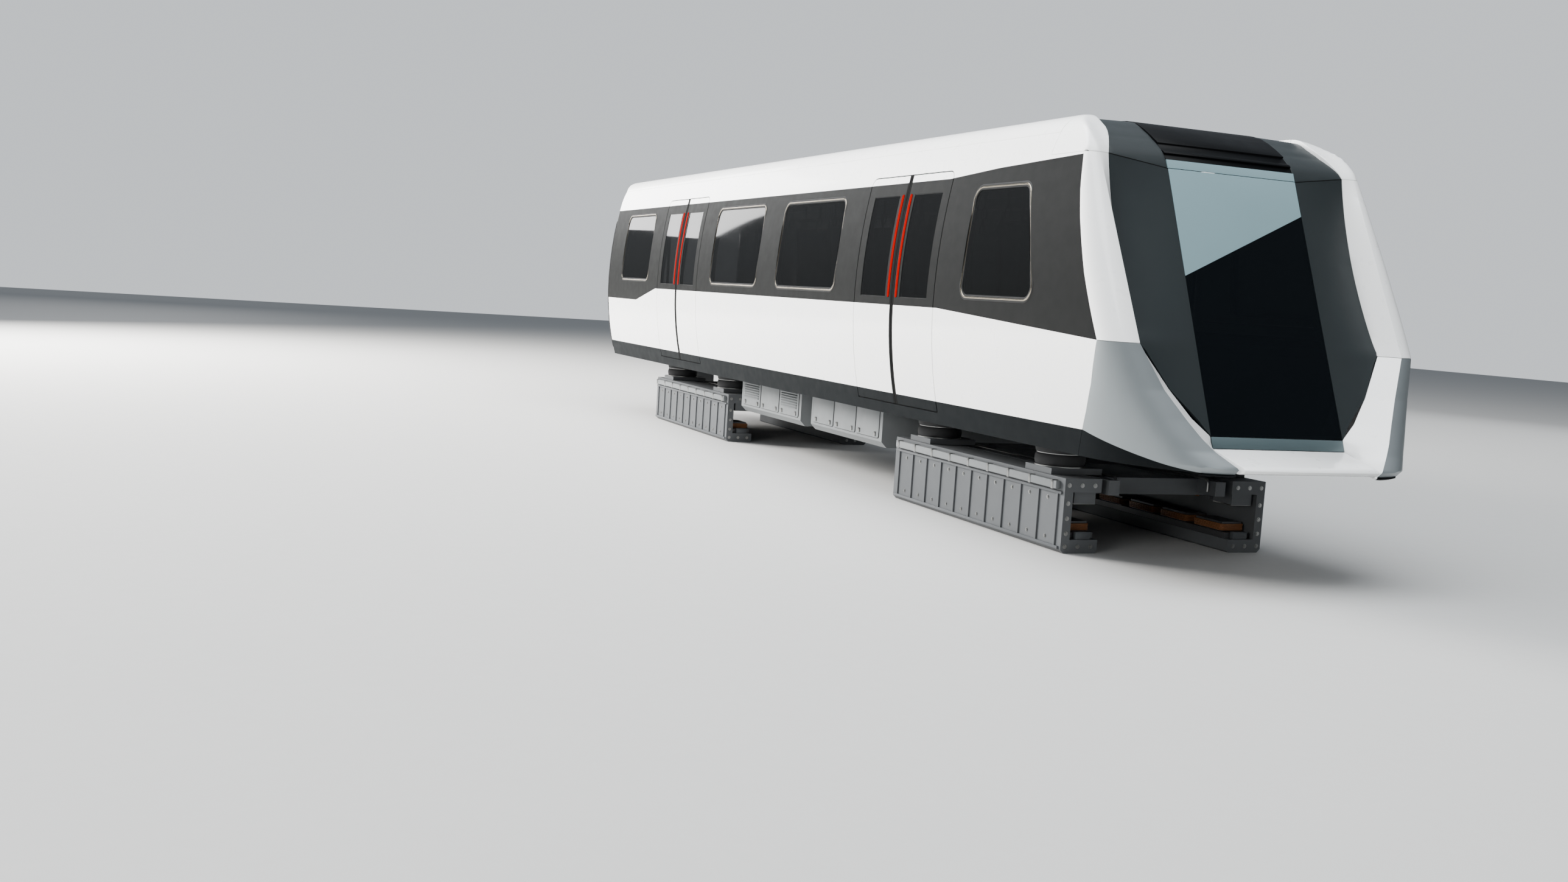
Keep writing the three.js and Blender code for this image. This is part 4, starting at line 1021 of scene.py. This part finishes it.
# levitation chassis: springs with two folds, ribbed side modules, coils and motor windings
chassis = {"middles": {"front": 3.9, "rear": -3.9}, "long": 1.5}  # x below runs from each middle
spring = {"x": 1.05, "y": 0.76, "radius": 0.191, "proud": 0.017, "folds": ((0.656, 0.756), (0.758, 0.856)),
          "foot": (0.186, 0.652), "head": (0.186, 0.858), "count": 44,
          "rims": ((0.188, 0.206, 0.6505, 0.659), (0.19, 0.1955, 0.755, 0.761),
                   (0.188, 0.202, 0.857, 0.8645))}
module = {
    "rib": ((-1.409, -1.391), (0.978, 0.993), (0.05, 0.475), 0.003), "ribs": 11, "ribStep": 0.2814,
    "rails": [((-1.47, 1.47), (0.978, 0.996), (0.032, 0.056), 0.003),
              ((-1.47, 1.47), (0.978, 0.996), (0.47, 0.492), 0.003)],
    "duct": ((-1.43, 1.43), (0.978, 1.022), (0.508, 0.572), 0.006),
    "clip": ((-1.39, -1.36), (0.978, 1.026), (0.503, 0.577), 0.003), "clips": 9, "clipStep": 0.3435,
    "sensor": ((1.446, 1.494), (0.70, 0.84), (0.1105, 0.172), 0.006),
    "pad": ((1.232, 1.468), (0.668, 0.872), (0.391, 0.401), 0.002),
    "bolts": [(x, 0.9795, z) for z in (0.105, 0.42) for x in steps(-1.26, 1.26, 9)],
    "endBolts": [(0.94, 0.16), (0.94, 0.28), (0.94, 0.40), (0.70, 0.055), (0.82, 0.055), (0.94, 0.055),
                 (0.70, 0.545), (0.82, 0.545), (0.94, 0.545)],
}
coil = {"turns": 5, "pitch": 0.0112, "proud": 0.0052, "foot": 0.168, "head": 0.224, "core": 0.014,
        "first": -1.2, "halfX": 0.176, "halfY": 0.102, "y": 0.77, "poles": 6, "step": 0.48}
winding = {"bar": ((-0.015, 0.015), (0.652, 0.888), (0.408, 0.432), 0.004), "first": -1.03, "count": 10,
           "end": ((-0.017, 0.017), (0.646, 0.664), (0.408, 0.476), 0.006), "step": 2.06 / 9}
airPipe = {"y": 0.452, "run": [(-1.42, 0.5), (-1.42, 0.604), (1.42, 0.604), (1.42, 0.5)], "radius": 0.011,
           "bend": 0.04}
controller = {"starts": {"ahead": 0.2, "behind": -0.95}, "foot": 0.474,
              "box": ((0, 0.75), (-0.4, 0.4), (0.474, 0.572), 0.008),
              "fin": ((0.05, 0.056), (-0.34, 0.34), (0.458, 0.475), 0.0015), "fins": 20, "finStep": 0.033,
              "bolts": [(x, y) for x in (0.02, 0.73) for y in steps(-0.37, 0.37, 4)]}
pivot = {"cap": [(0, 0.436), (0.085, 0.436), (0.09, 0.44), (0.09, 0.451), (0, 0.451)], "radius": 0.07,
         "foot": 0.4365}
springSkin = [spring["foot"]]
for low, high in spring["folds"]:
    springSkin += [(spring["radius"] + spring["proud"] * math.sin(t),
                    low + (high - low) * (0.5 - 0.5 * math.cos(t))) for t in halfTurn(8)]
springSkin.append(spring["head"])
coilSection = [(0, coil["foot"])]
for i in range(coil["turns"]):
    z, reach = coil["foot"] + i * coil["pitch"], coil["pitch"] / 2
    coilSection += [(coil["core"] + coil["proud"] * math.sin(t), z + reach - reach * math.cos(t))
                    for t in halfTurn(4)[:-1]]
coilSection += [(coil["core"], coil["head"]), (0, coil["head"])]
for end, mid in chassis["middles"].items():
    body = f"chassis_{end}"
    for place, way in ends:
        for side, hand in sides:
            at = (mid + way * spring["x"], hand * spring["y"], 0)
            tag = f"{body}_spring_{place}_{side}"
            solid(tag, [turnedShape(springSkin, at, count=spring["count"])], "bellows", body, crease=40)
            rims = [turnedShape(rectangle(*rim), at, count=spring["count"]) for rim in spring["rims"]]
            solid(f"{tag}_rims", rims, "steel", body)
    for side, hand in sides:
        tag = f"{body}_module_{side}"
        repeated(f"{tag}_ribs", boxShape(module["rib"], mid, hand), "frame", module["ribs"],
                 (module["ribStep"], 0, 0), body=body)
        solid(f"{tag}_rails", [boxShape(rail, mid, hand) for rail in module["rails"]], "frame", body)
        solid(f"{tag}_duct", [boxShape(module["duct"], mid, hand)], "box", body)
        repeated(f"{tag}_duct_clips", boxShape(module["clip"], mid, hand), "steel", module["clips"],
                 (module["clipStep"], 0, 0), body=body)
        spots = [(mid + x, hand * y, z) for x, y, z in module["bolts"]]
        bolts(f"{tag}_bolts", spots, (0, hand, 0), 0.022, 0.007, body)
        for place, way in ends:
            spots = [(mid + way * chassis["long"], hand * y, z) for y, z in module["endBolts"]]
            bolts(f"{tag}_end_bolts_{place}", spots, (way, 0, 0), 0.022, 0.006, body)
        for part, kind in (("sensor", "shell"), ("pad", "steel")):
            shapes = [boxShape(module[part], mid, hand, way) for place, way in ends]
            solid(f"{tag}_{'gap_sensors' if part == 'sensor' else 'skid_pads'}", shapes, kind, body)
        x, y = mid + coil["first"], hand * coil["y"]
        loop = rounded(rectangle(x - coil["halfX"], x + coil["halfX"], y - coil["halfY"], y + coil["halfY"]),
                       0.02, 4)
        shape = ringShape(loop, lambda x, y, z: Vector((x, y, z)), coilSection)
        repeated(f"{body}_coils_{side}", shape, "coil", coil["poles"], (coil["step"], 0, 0), body=body,
                 crease=50)
        shape = together(*[boxShape(winding[part], mid + winding["first"], hand) for part in ("bar", "end")])
        repeated(f"{body}_motor_windings_{side}", shape, "coil", winding["count"], (winding["step"], 0, 0),
                 body=body)
        pipe(f"{body}_air_pipe_{side}", [(mid + x, hand * airPipe["y"], z) for x, z in airPipe["run"]],
             airPipe["radius"], "steel", airPipe["bend"], body)
    starts = {place: mid + x for place, x in controller["starts"].items()}
    for place, x in starts.items():
        spots = [(x + across, y, controller["foot"]) for across, y in controller["bolts"]]
        bolts(f"{body}_controller_{place}_bolts", spots, (0, 0, -1), 0.014, 0.004, body)
    solid(f"{body}_controllers", [boxShape(controller["box"], x) for x in starts.values()], "box", body)
    fin = together(*[boxShape(controller["fin"], x) for x in starts.values()])
    repeated(f"{body}_controller_fins", fin, "box", controller["fins"], (controller["finStep"], 0, 0),
             body=body)
    solid(f"{body}_pivot_cap", [turnedShape(pivot["cap"], (mid, 0, 0))], "steel", body)
    around = [(mid + pivot["radius"] * math.cos(t), pivot["radius"] * math.sin(t), pivot["foot"])
              for t in steps(0, 2 * math.pi, 8)[:-1]]
    bolts(f"{body}_pivot_bolts", around, (0, 0, -1), 0.016, 0.006, body)
print("chassis details made")


# underframe: sole bars, crossbars and the lids, latches and louvres of the two equipment boxes
under = {
    "sole": ((-6.4, 5.75), (1.12, 1.195), (0.842, 0.8695), 0.005),
    "crossbar": ((-0.03, 0.03), (-1.115, 1.115), (0.832, 0.8695), 0.004),
    "crossbars": (-5.45, -4.45, -3.35, -2.45, 2.45, 3.35, 4.45, 5.45),
    "web": ((-6.62, -6.58), (0.3, 1.115), (0.842, 0.8695), 0.004), "webs": 4, "webStep": 0.28,
    "webRow": -1.415,
    "airMain": [(-5.3, 1.06, 0.845), (5.2, 1.06, 0.845), (5.45, 0.95, 0.845)],
    "cableDuct": [(-6.1, -1.06, 0.845), (5.3, -1.06, 0.845)],
}
box = {"ends": {"converter_box": (-2.0, -0.1), "battery_and_air_box": (0.2, 2.0)}, "foot": 0.4397,
       "half": 0.95, "lids": 3, "lidIn": 0.07, "lidGap": 0.03, "lidLow": 0.09, "lidHigh": 0.39,
       "lidProud": 0.007,
       "latch": ((0.06, 0.095), (0.956, 0.967), (0.5447, 0.5897), 0.003), "latchApart": 0.155,
       "louvre": [(0.956, 0.8097), (0.956, 0.7917), (0.969, 0.7897), (0.969, 0.7937)], "louvres": 7,
       "louvreStep": -0.028, "bead": ((0.12, 0.15), (-0.8, 0.8), (0.4337, 0.4407), 0.003), "beadStep": 0.19,
       "seal": [(0.0005, -0.001), (0.0005, 0.004), (0.0045, 0.003), (0.006, -0.001)]}
solid("sole_bars", [boxShape(under["sole"], hand=hand) for side, hand in sides], "frame")
solid("crossbars", [boxShape(under["crossbar"], x) for x in under["crossbars"]], "frame")
repeated("rear_crossbars", boxShape(under["web"]), "frame", under["webs"], (under["webStep"], 0, 0), 2,
         (0, under["webRow"], 0))
for node, (a, b) in box["ends"].items():
    foot, face, x = box["foot"], box["half"], a + box["lidIn"]
    wide = (b - a - 0.2) / box["lids"]
    step = wide + box["lidGap"]
    lidLoop = rounded(rectangle(x, x + wide, foot + box["lidLow"], foot + box["lidHigh"]), 0.025, 5)
    for side, hand in sides:
        lid = sweptShape(lidLoop, "y", hand * (face - 0.001), hand * (face + box["lidProud"]), 0.002)
        repeated(f"{node}_lids_{side}", lid, "box", box["lids"], (step, 0, 0))
        repeated(f"{node}_latches_{side}", boxShape(box["latch"], x, hand), "steel", box["lids"],
                 (step, 0, 0), 2, (wide - box["latchApart"], 0, 0))
        seal = ringShape(lidLoop, lambda x, z, depth: Vector((x, hand * (face + depth), z)), box["seal"])
        repeated(f"{node}_lid_seals_{side}", seal, "gasket", box["lids"], (step, 0, 0))
        if node == "converter_box":
            slat = sweptShape([(hand * y, z) for y, z in box["louvre"]], "x", x + 0.05, x + wide - 0.05,
                              0.001)
            repeated(f"{node}_louvres_{side}", slat, "box", box["louvres"], (0, 0, box["louvreStep"]), 2,
                     (2 * step, 0, 0))
    beads = int((b - a - 0.2) / box["beadStep"])
    repeated(f"{node}_foot_beads", boxShape(box["bead"], a), "box", beads, (box["beadStep"], 0, 0))
    spots = [(x, y, foot + 0.0005) for x in (a + 0.04, b - 0.04) for y in steps(-0.84, 0.84, 8)]
    bolts(f"{node}_foot_bolts", spots, (0, 0, -1), 0.018, 0.005)
for side, hand in sides:
    plate = [(x - 0.02, y - 0.03) for x, y in cornerArc(5.99, halfAt(0), 6.99, 0.64, 24)]
    plate += [(6.62, 0.6), (5.9, 0.6), (5.9, halfAt(0) - 0.03)]
    shape = sweptShape([(x, hand * y) for x, y in plate], "z", 0.853, 0.861, 0.001)
    solid(f"nose_underpan_{side}", [shape], "slate")
pipe("air_main", under["airMain"], 0.014, "steel", 0.08)
pipe("cable_duct_under", under["cableDuct"], 0.016, "cable", 0.05)


# drawbar: flange bolts, collars and the rubber bush round its pin
drawbar = {
    "z": 0.56, "pivot": -6.35, "bush": rectangle(0.033, 0.062, 0.505, 0.511),
    "flangeBolts": [(-7.03, y, z) for y in (-0.08, 0.08) for z in (0.49, 0.56, 0.63)],
    "bracketBolts": [(x, y, 0.465) for x in (-6.42, -6.30, -6.18) for y in (-0.11, 0.11)],
    "collars": [[(0.0, -6.97), (0.078, -6.97), (0.078, -6.955), (0.066, -6.93), (0.0, -6.93)],
                [(0.0, -6.62), (0.071, -6.62), (0.074, -6.60), (0.074, -6.54), (0.071, -6.52), (0.0, -6.52)]],
}
bolts("drawbar_flange_bolts", drawbar["flangeBolts"], (-1, 0, 0), 0.026, 0.008, "drawbar_link", "pole")
collars = [turnedShape(row, (0, 0, drawbar["z"]), "x") for row in drawbar["collars"]]
solid("drawbar_collars", collars, "steel", "drawbar_link")
bushes = (drawbar["bush"], [(r, 2 * drawbar["z"] - z) for r, z in drawbar["bush"]])
solid("drawbar_bush", [turnedShape(row, (drawbar["pivot"], 0, 0)) for row in bushes], "gasket",
      "drawbar_link")
bolts("drawbar_bracket_bolts", drawbar["bracketBolts"], (0, 0, -1), 0.024, 0.007)
print("underfloor details made")


# CAD nodes that show as they are: their finish and the width of their softened edges
shown = {
    "floor": ("floor", 0), "rear_wall": ("band", 0.004), "gangway_bellows": ("bellows", 0.006),
    "front_console": ("shell", 0.02), "grab_poles_left": ("pole", 0), "grab_poles_right": ("pole", 0),
    "converter_box": ("box", 0.008), "battery_and_air_box": ("box", 0.008),
    "drawbar_bracket": ("frame", 0.004), "drawbar": ("steel", 0.005),
}
for end in chassis["middles"]:
    shown[f"chassis_{end}_frame"] = ("frame", 0.005)
    for side, hand in sides:
        shown[f"chassis_{end}_module_{side}"] = ("frame", 0.006)
        shown[f"chassis_{end}_magnets_{side}"] = ("core", 0.004)
for node, (kind, bevel) in shown.items():
    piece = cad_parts[node]
    piece.data.materials.clear()
    piece.data.materials.append(paint[kind])
    if bevel:
        soft = piece.modifiers.new("softEdges", "BEVEL")
        soft.width = bevel
        soft.segments = 2
        soft.limit_method = "ANGLE"
        soft.angle_limit = math.radians(30)
        soft.harden_normals = False
print("CAD nodes dressed")


# saloon: ceiling, lights, door gear covers, thresholds, strap handles, rails and draught screens
saloon = {
    "ceiling": ((-6.62, 5.28), (-1.15, 1.15), (3.15, 3.19), 0.004),
    "tray": ((-6.3, 5.0), (0.40, 0.52), (3.142, 3.151), 0.003),
    "light": ((-6.25, -5.13), (0.42, 0.50), (3.134, 3.143), 0.003), "lights": 10, "lightStep": 1.13,
    "vent": ((-6.2, -6.08), (0.252, 0.268), (3.1465, 3.1505), 0), "vents": 60, "ventStep": 0.186,
    "rails": {"rear": (-6.25, -4.55), "front": (4.05, 5.55)}, "railZ": 1.9,
}
doorway = {  # x runs from the door's seam
    "gear_cover": ("liner", ((-0.98, 0.98), (1.02, 1.15), (2.985, 3.148), 0.012)),
    "threshold": ("steel", ((-0.785, 0.785), (1.12, 1.262), (0.998, 1.0045), 0.002)),
}
thresholdTread = {"size": ((-0.77, 0.77), (1.13, 1.136), (1.004, 1.0065), 0.001), "count": 9, "step": 0.0145}
strap = {"x": -4.285, "y": 0.7, "z": 2.745, "radius": 0.052, "wire": 0.008, "count": 20, "step": 0.42,
         "band": ((-4.3, -4.27), (0.694, 0.706), (2.79, 2.97), 0.002)}
draught = {"at": {"front": 1.99, "rear": -2.5}, "pane": ((-0.004, 0.004), (0.722, 1.31), (1.3, 2.5), 0.001),
           "clamps": [((-0.016, 0.016), (0.71, 0.745), (z - 0.025, z + 0.025), 0.004)
                      for z in (1.4, 1.9, 2.4)]}
solid("saloon_ceiling", [boxShape(saloon["ceiling"])], "liner", stands=["roof"])
for side, hand in sides:
    solid(f"ceiling_light_tray_{side}", [boxShape(saloon["tray"], hand=hand)], "pole")
    repeated(f"ceiling_lights_{side}", boxShape(saloon["light"], hand=hand), "lamp", saloon["lights"],
             (saloon["lightStep"], 0, 0))
    repeated(f"ceiling_vents_{side}", boxShape(saloon["vent"], hand=hand), "gasket", saloon["vents"],
             (saloon["ventStep"], 0, 0))
    for name, seamX in doors.items():
        for part, (kind, size) in doorway.items():
            solid(f"door_{part}_{name}_{side}", [boxShape(size, seamX, hand)], kind)
        repeated(f"door_threshold_treads_{name}_{side}", boxShape(thresholdTread["size"], seamX, hand),
                 "gasket", thresholdTread["count"], (0, hand * thresholdTread["step"], 0))
    wire = [(strap["radius"] + strap["wire"] * math.cos(t), strap["wire"] * math.sin(t))
            for t in steps(0, 2 * math.pi, 8)[:-1]]
    handle = turnedShape(wire, (strap["x"], hand * strap["y"], strap["z"]), "y", 24)
    repeated(f"strap_handles_{side}", together(boxShape(strap["band"], hand=hand), handle), "cable",
             strap["count"], (strap["step"], 0, 0))
    for name, (a, b) in saloon["rails"].items():
        rail = [(x, hand * y, saloon["railZ"]) for x, y in ((a, 1.30), (a, 1.24), (b, 1.24), (b, 1.30))]
        pipe(f"window_rail_{name}_{side}", rail, 0.016, "pole", 0.04)
    for name, x in draught["at"].items():
        solid(f"draught_screen_{name}_{side}", [boxShape(draught["pane"], x, hand)], "clear")
        clamps = [boxShape(clamp, x, hand) for clamp in draught["clamps"]]
        solid(f"draught_screen_clamps_{name}_{side}", clamps, "pole")


# seats: a moulded shell for each person, with a seat and a back cushion
seat = {
    "bays": ((-2.45, 2, 0.525), (-1.3, 2, 0.525), (0.25, 2, 0.525), (1.4, 1, 0.55)),  # start, people, width
    "shell": [(0.785, 1.36), (0.797, 1.355), (0.8, 1.385), (0.812, 1.394), (1.24, 1.394), (1.262, 1.402),
              (1.27, 1.425), (1.286, 1.90), (1.299, 1.90), (1.284, 1.415), (1.272, 1.388), (1.25, 1.381),
              (0.815, 1.381), (0.79, 1.392), (0.785, 1.38)],
    "beam": ((-2.5, 1.95), (1.15, 1.3), (1.315, 1.38), 0.006), "legs": (-2.3, -0.3, 0.3, 1.8),
    "leg": ((-0.028, 0.028), (1.125, 1.185), (1.0, 1.37), 0.008),
    "foot": ((-0.05, 0.05), (1.09, 1.22), (1.0, 1.008), 0.003),
}
padding = {"seat": (0.475, 0.435, 0.046), "back": (0.455, 0.042, 0.38), "edge": 0.016, "voxel": 0.013,
           "pressure": 4, "frames": 20, "swell": 0.012}


def puffed(name, size):
    # a rounded block blown up by cloth pressure, as a shape round the origin
    work = bmesh.new()
    bmesh.ops.create_cube(work, size=1)
    for v in work.verts:
        v.co = Vector([v.co[i] * size[i] for i in range(3)])
    softened(work, padding["edge"], 3)
    mesh = bpy.data.meshes.new(name)
    work.to_mesh(mesh)
    work.free()
    pad = bpy.data.objects.new(name, mesh)
    bpy.context.scene.collection.objects.link(pad)
    fine = pad.modifiers.new("fine", "REMESH")
    fine.mode = "VOXEL"
    fine.voxel_size = padding["voxel"]
    shell = bpy.data.meshes.new_from_object(pad.evaluated_get(bpy.context.evaluated_depsgraph_get()))
    pad.modifiers.clear()
    pad.data = shell
    verts = [v.co.copy() for v in shell.vertices]
    faces = [list(f.vertices) for f in shell.polygons]
    cloth = pad.modifiers.new("cloth", "CLOTH")
    cloth.settings.use_pressure = True
    cloth.settings.uniform_pressure_force = padding["pressure"]
    cloth.settings.effector_weights.gravity = 0
    cloth.settings.quality = 4
    cloth.point_cache.frame_end = padding["frames"]
    for step in range(1, padding["frames"] + 1):
        bpy.context.scene.frame_set(step)
    blown = pad.evaluated_get(bpy.context.evaluated_depsgraph_get()).data
    moved = [blown.vertices[i].co - verts[i] for i in range(len(verts))]
    verts = [v + m * min(1, padding["swell"] / max(1e-9, m.length)) for v, m in zip(verts, moved)]
    pad.modifiers.clear()
    bpy.context.scene.frame_set(1)
    bpy.data.objects.remove(pad)
    return verts, faces


def placed(shape, at, lean, hand, flat):
    # moves a cushion to its place, leaning it back; flat is the axis and side that rests on the shell
    axis, limit = flat
    out = []
    for v in shape[0]:
        v = v.copy()
        v[axis] = max(v[axis], limit) if limit < 0 else min(v[axis], limit)
        out.append(Vector((v.x + at[0], hand * (v.y + lean * v.z + at[1]), v.z + at[2])))
    return out, shape[1]


cushions = {  # shape, y and z of its middle, lean, resting side and fill
    "seat": (puffed("seatCushion", padding["seat"]), 1.025, 1.422, 0, (2, -0.027), 0.7),
    "back": (puffed("backCushion", padding["back"]), 1.254, 1.675, 0.035, (1, 0.025), 0.6),
}
for side, hand in sides:
    row = [f"seat_row_{side}"]
    count = 0
    for i, (start, people, wide) in enumerate(seat["bays"]):
        shell = sweptShape([(hand * y, z) for y, z in seat["shell"]], "x", start + 0.012,
                           start + wide - 0.012, 0)
        repeated(f"seat_shells_{side}_{i + 1}", shell, "shell", people, (wide, 0, 0), stands=row)
        for j in range(people):
            count += 1
            for part, (shape, y, z, lean, flat, fill) in cushions.items():
                verts, faces = placed(shape, (start + wide * (j + 0.5), y, z), lean, hand, flat)
                cushion = finish(f"{part}_cushion_{side}_{count}", verts, faces, ["fabric"], stands=row,
                                 crease=60)
    legs = [boxShape(seat[part], x, hand) for part in ("leg", "foot") for x in seat["legs"]]
    solid(f"seat_frame_{side}", [boxShape(seat["beam"], hand=hand), *legs], "frame", stands=row)
lid = sweptShape(rounded(rectangle(5.76, 6.1, -0.5, 0.5), 0.03, 5), "z", 1.806, 1.815, 0.003)
solid("console_lid", [lid], "box")
print("saloon made")


# camera at the photograph's viewing angle
view = {"place": (15.4857, -7.5542, 1.8939), "yaw": 2.75078, "pitch": -0.096259, "roll": 0.065042,
        "lens": 34.67}
yaw, pitch, roll = view["yaw"], view["pitch"], view["roll"]
ahead = Vector((math.cos(yaw) * math.cos(pitch), math.sin(yaw) * math.cos(pitch), math.sin(pitch)))
right = ahead.cross(Vector((0, 0, 1))).normalized()
up = right.cross(ahead)
axes = (math.cos(roll) * right + math.sin(roll) * up, math.cos(roll) * up - math.sin(roll) * right, -ahead,
        Vector(view["place"]))
data = bpy.data.cameras.new("camera")
data.lens = view["lens"]
data.sensor_width = 36
camera = bpy.data.objects.new("camera", data)
bpy.context.scene.collection.objects.link(camera)
matrix = camera.matrix_world.copy()
for i in range(3):
    for j, axis in enumerate(axes):
        matrix[i][j] = axis[i]
camera.matrix_world = matrix
bpy.context.scene.camera = camera


# studio: a pale floor, soft lamps, and a white card that only the side windows mirror
def staged(name, points, kind):
    mesh = bpy.data.meshes.new(name)
    mesh.from_pydata(points, [], [list(range(len(points)))])
    mesh.materials.append(kind)
    piece = bpy.data.objects.new(name, mesh)
    bpy.context.scene.collection.objects.link(piece)
    return piece


studio = {"half": 60, "card": 8.0, "cardX": -50,
          "cardOutline": [(-4, 6.2), (-14.3, 8.25), (-15, 7.8), (-16.5, 7.9), (-17.3, 8.4), (-18.6, 12.1),
                          (-19.6, 17.2), (-4, 24)]}
sky = {"stops": [(0.0, (0.045, 0.05, 0.055)), (0.22, (0.12, 0.13, 0.145)), (0.6, (0.50, 0.55, 0.61))],
       "seen": (0.80, 0.84, 0.88), "shadeFrom": (0.75, 0.66, 0), "shade": 0.3, "fade": (-0.1, 0.7)}
staged("studioFloor", [(x, y, 0) for x, y in rectangle(-studio["half"], studio["half"], -studio["half"],
                                                       studio["half"])],
       material("floorPale", (0.38, 0.38, 0.376), 0.8, vary=0.01))


def studioSky():
    # bright overhead, darker towards the horizon and on one side; the camera itself sees a plain pale grey
    world = bpy.data.worlds.new("studioSky")
    world.use_nodes = True
    tree = world.node_tree
    link = tree.links.new
    background = tree.nodes["Background"]
    place = tree.nodes.new("ShaderNodeTexCoord")
    split = tree.nodes.new("ShaderNodeSeparateXYZ")
    link(place.outputs["Generated"], split.inputs["Vector"])
    ramp = tree.nodes.new("ShaderNodeValToRGB")
    stops = ramp.color_ramp.elements
    stops.new(sky["stops"][1][0])
    for stop, (height, colour) in zip(stops, sky["stops"]):
        stop.position, stop.color = height, (*colour, 1)
    link(split.outputs["Z"], ramp.inputs["Fac"])
    facing = tree.nodes.new("ShaderNodeVectorMath")
    facing.operation = "DOT_PRODUCT"
    facing.inputs[1].default_value = sky["shadeFrom"]
    link(place.outputs["Generated"], facing.inputs[0])
    fade = tree.nodes.new("ShaderNodeMapRange")
    fade.inputs["From Min"].default_value, fade.inputs["From Max"].default_value = sky["fade"]
    link(facing.outputs["Value"], fade.inputs["Value"])
    shaded = tree.nodes.new("ShaderNodeMix")
    shaded.data_type = "RGBA"
    shaded.blend_type = "MULTIPLY"
    shaded.inputs["B"].default_value = (sky["shade"], sky["shade"], sky["shade"], 1)
    link(fade.outputs["Result"], shaded.inputs["Factor"])
    link(ramp.outputs["Color"], shaded.inputs["A"])
    seen = tree.nodes.new("ShaderNodeLightPath")
    mix = tree.nodes.new("ShaderNodeMix")
    mix.data_type = "RGBA"
    mix.inputs["B"].default_value = (*sky["seen"], 1)
    link(seen.outputs["Is Camera Ray"], mix.inputs["Factor"])
    link(shaded.outputs["Result"], mix.inputs["A"])
    link(mix.outputs["Result"], background.inputs["Color"])
    background.inputs["Strength"].default_value = 1.0
    bpy.context.scene.world = world


studioSky()
lamps = {  # place, aim, size, power, colour, and whether glossy surfaces mirror it
    "skySoft": ((2, -4, 16), (0, 0, 1), (26, 16), 9200, (0.95, 0.98, 1.0), True),
    "sideSoft": ((-18, -16, 10), (-1, 0, 1.5), (16, 8), 40000, (1.0, 0.975, 0.94), False),
    "farSoft": ((-6, 22, 9), (0, 0, 1.5), (20, 8), 1800, (0.95, 0.98, 1.0), False),
    "noseSoft": ((22, 0, 7), (5, 0, 1.5), (10, 6), 600, (0.97, 0.99, 1.0), False),
    "cornerSoft": ((14, -17, 5), (6, 0, 2), (8, 5), 1500, (1.0, 0.99, 0.97), False),
}
for name, (at, aim, size, power, colour, mirrored) in lamps.items():
    data = bpy.data.lights.new(name, "AREA")
    data.shape = "RECTANGLE"
    data.size, data.size_y = size
    data.energy = power
    data.color = colour
    light = bpy.data.objects.new(name, data)
    bpy.context.scene.collection.objects.link(light)
    light.location = at
    light.rotation_euler = (Vector(aim) - Vector(at)).to_track_quat("-Z", "Y").to_euler()
    light.visible_glossy = mirrored
card = staged("windowCard", [(studio["cardX"], y, z) for y, z in studio["cardOutline"]],
              material("cardWhite", (1, 1, 1), 1.0, glow=studio["card"], vary=0))
card.visible_camera = False
card.visible_diffuse = False
card.visible_shadow = False
print("camera and lights set")
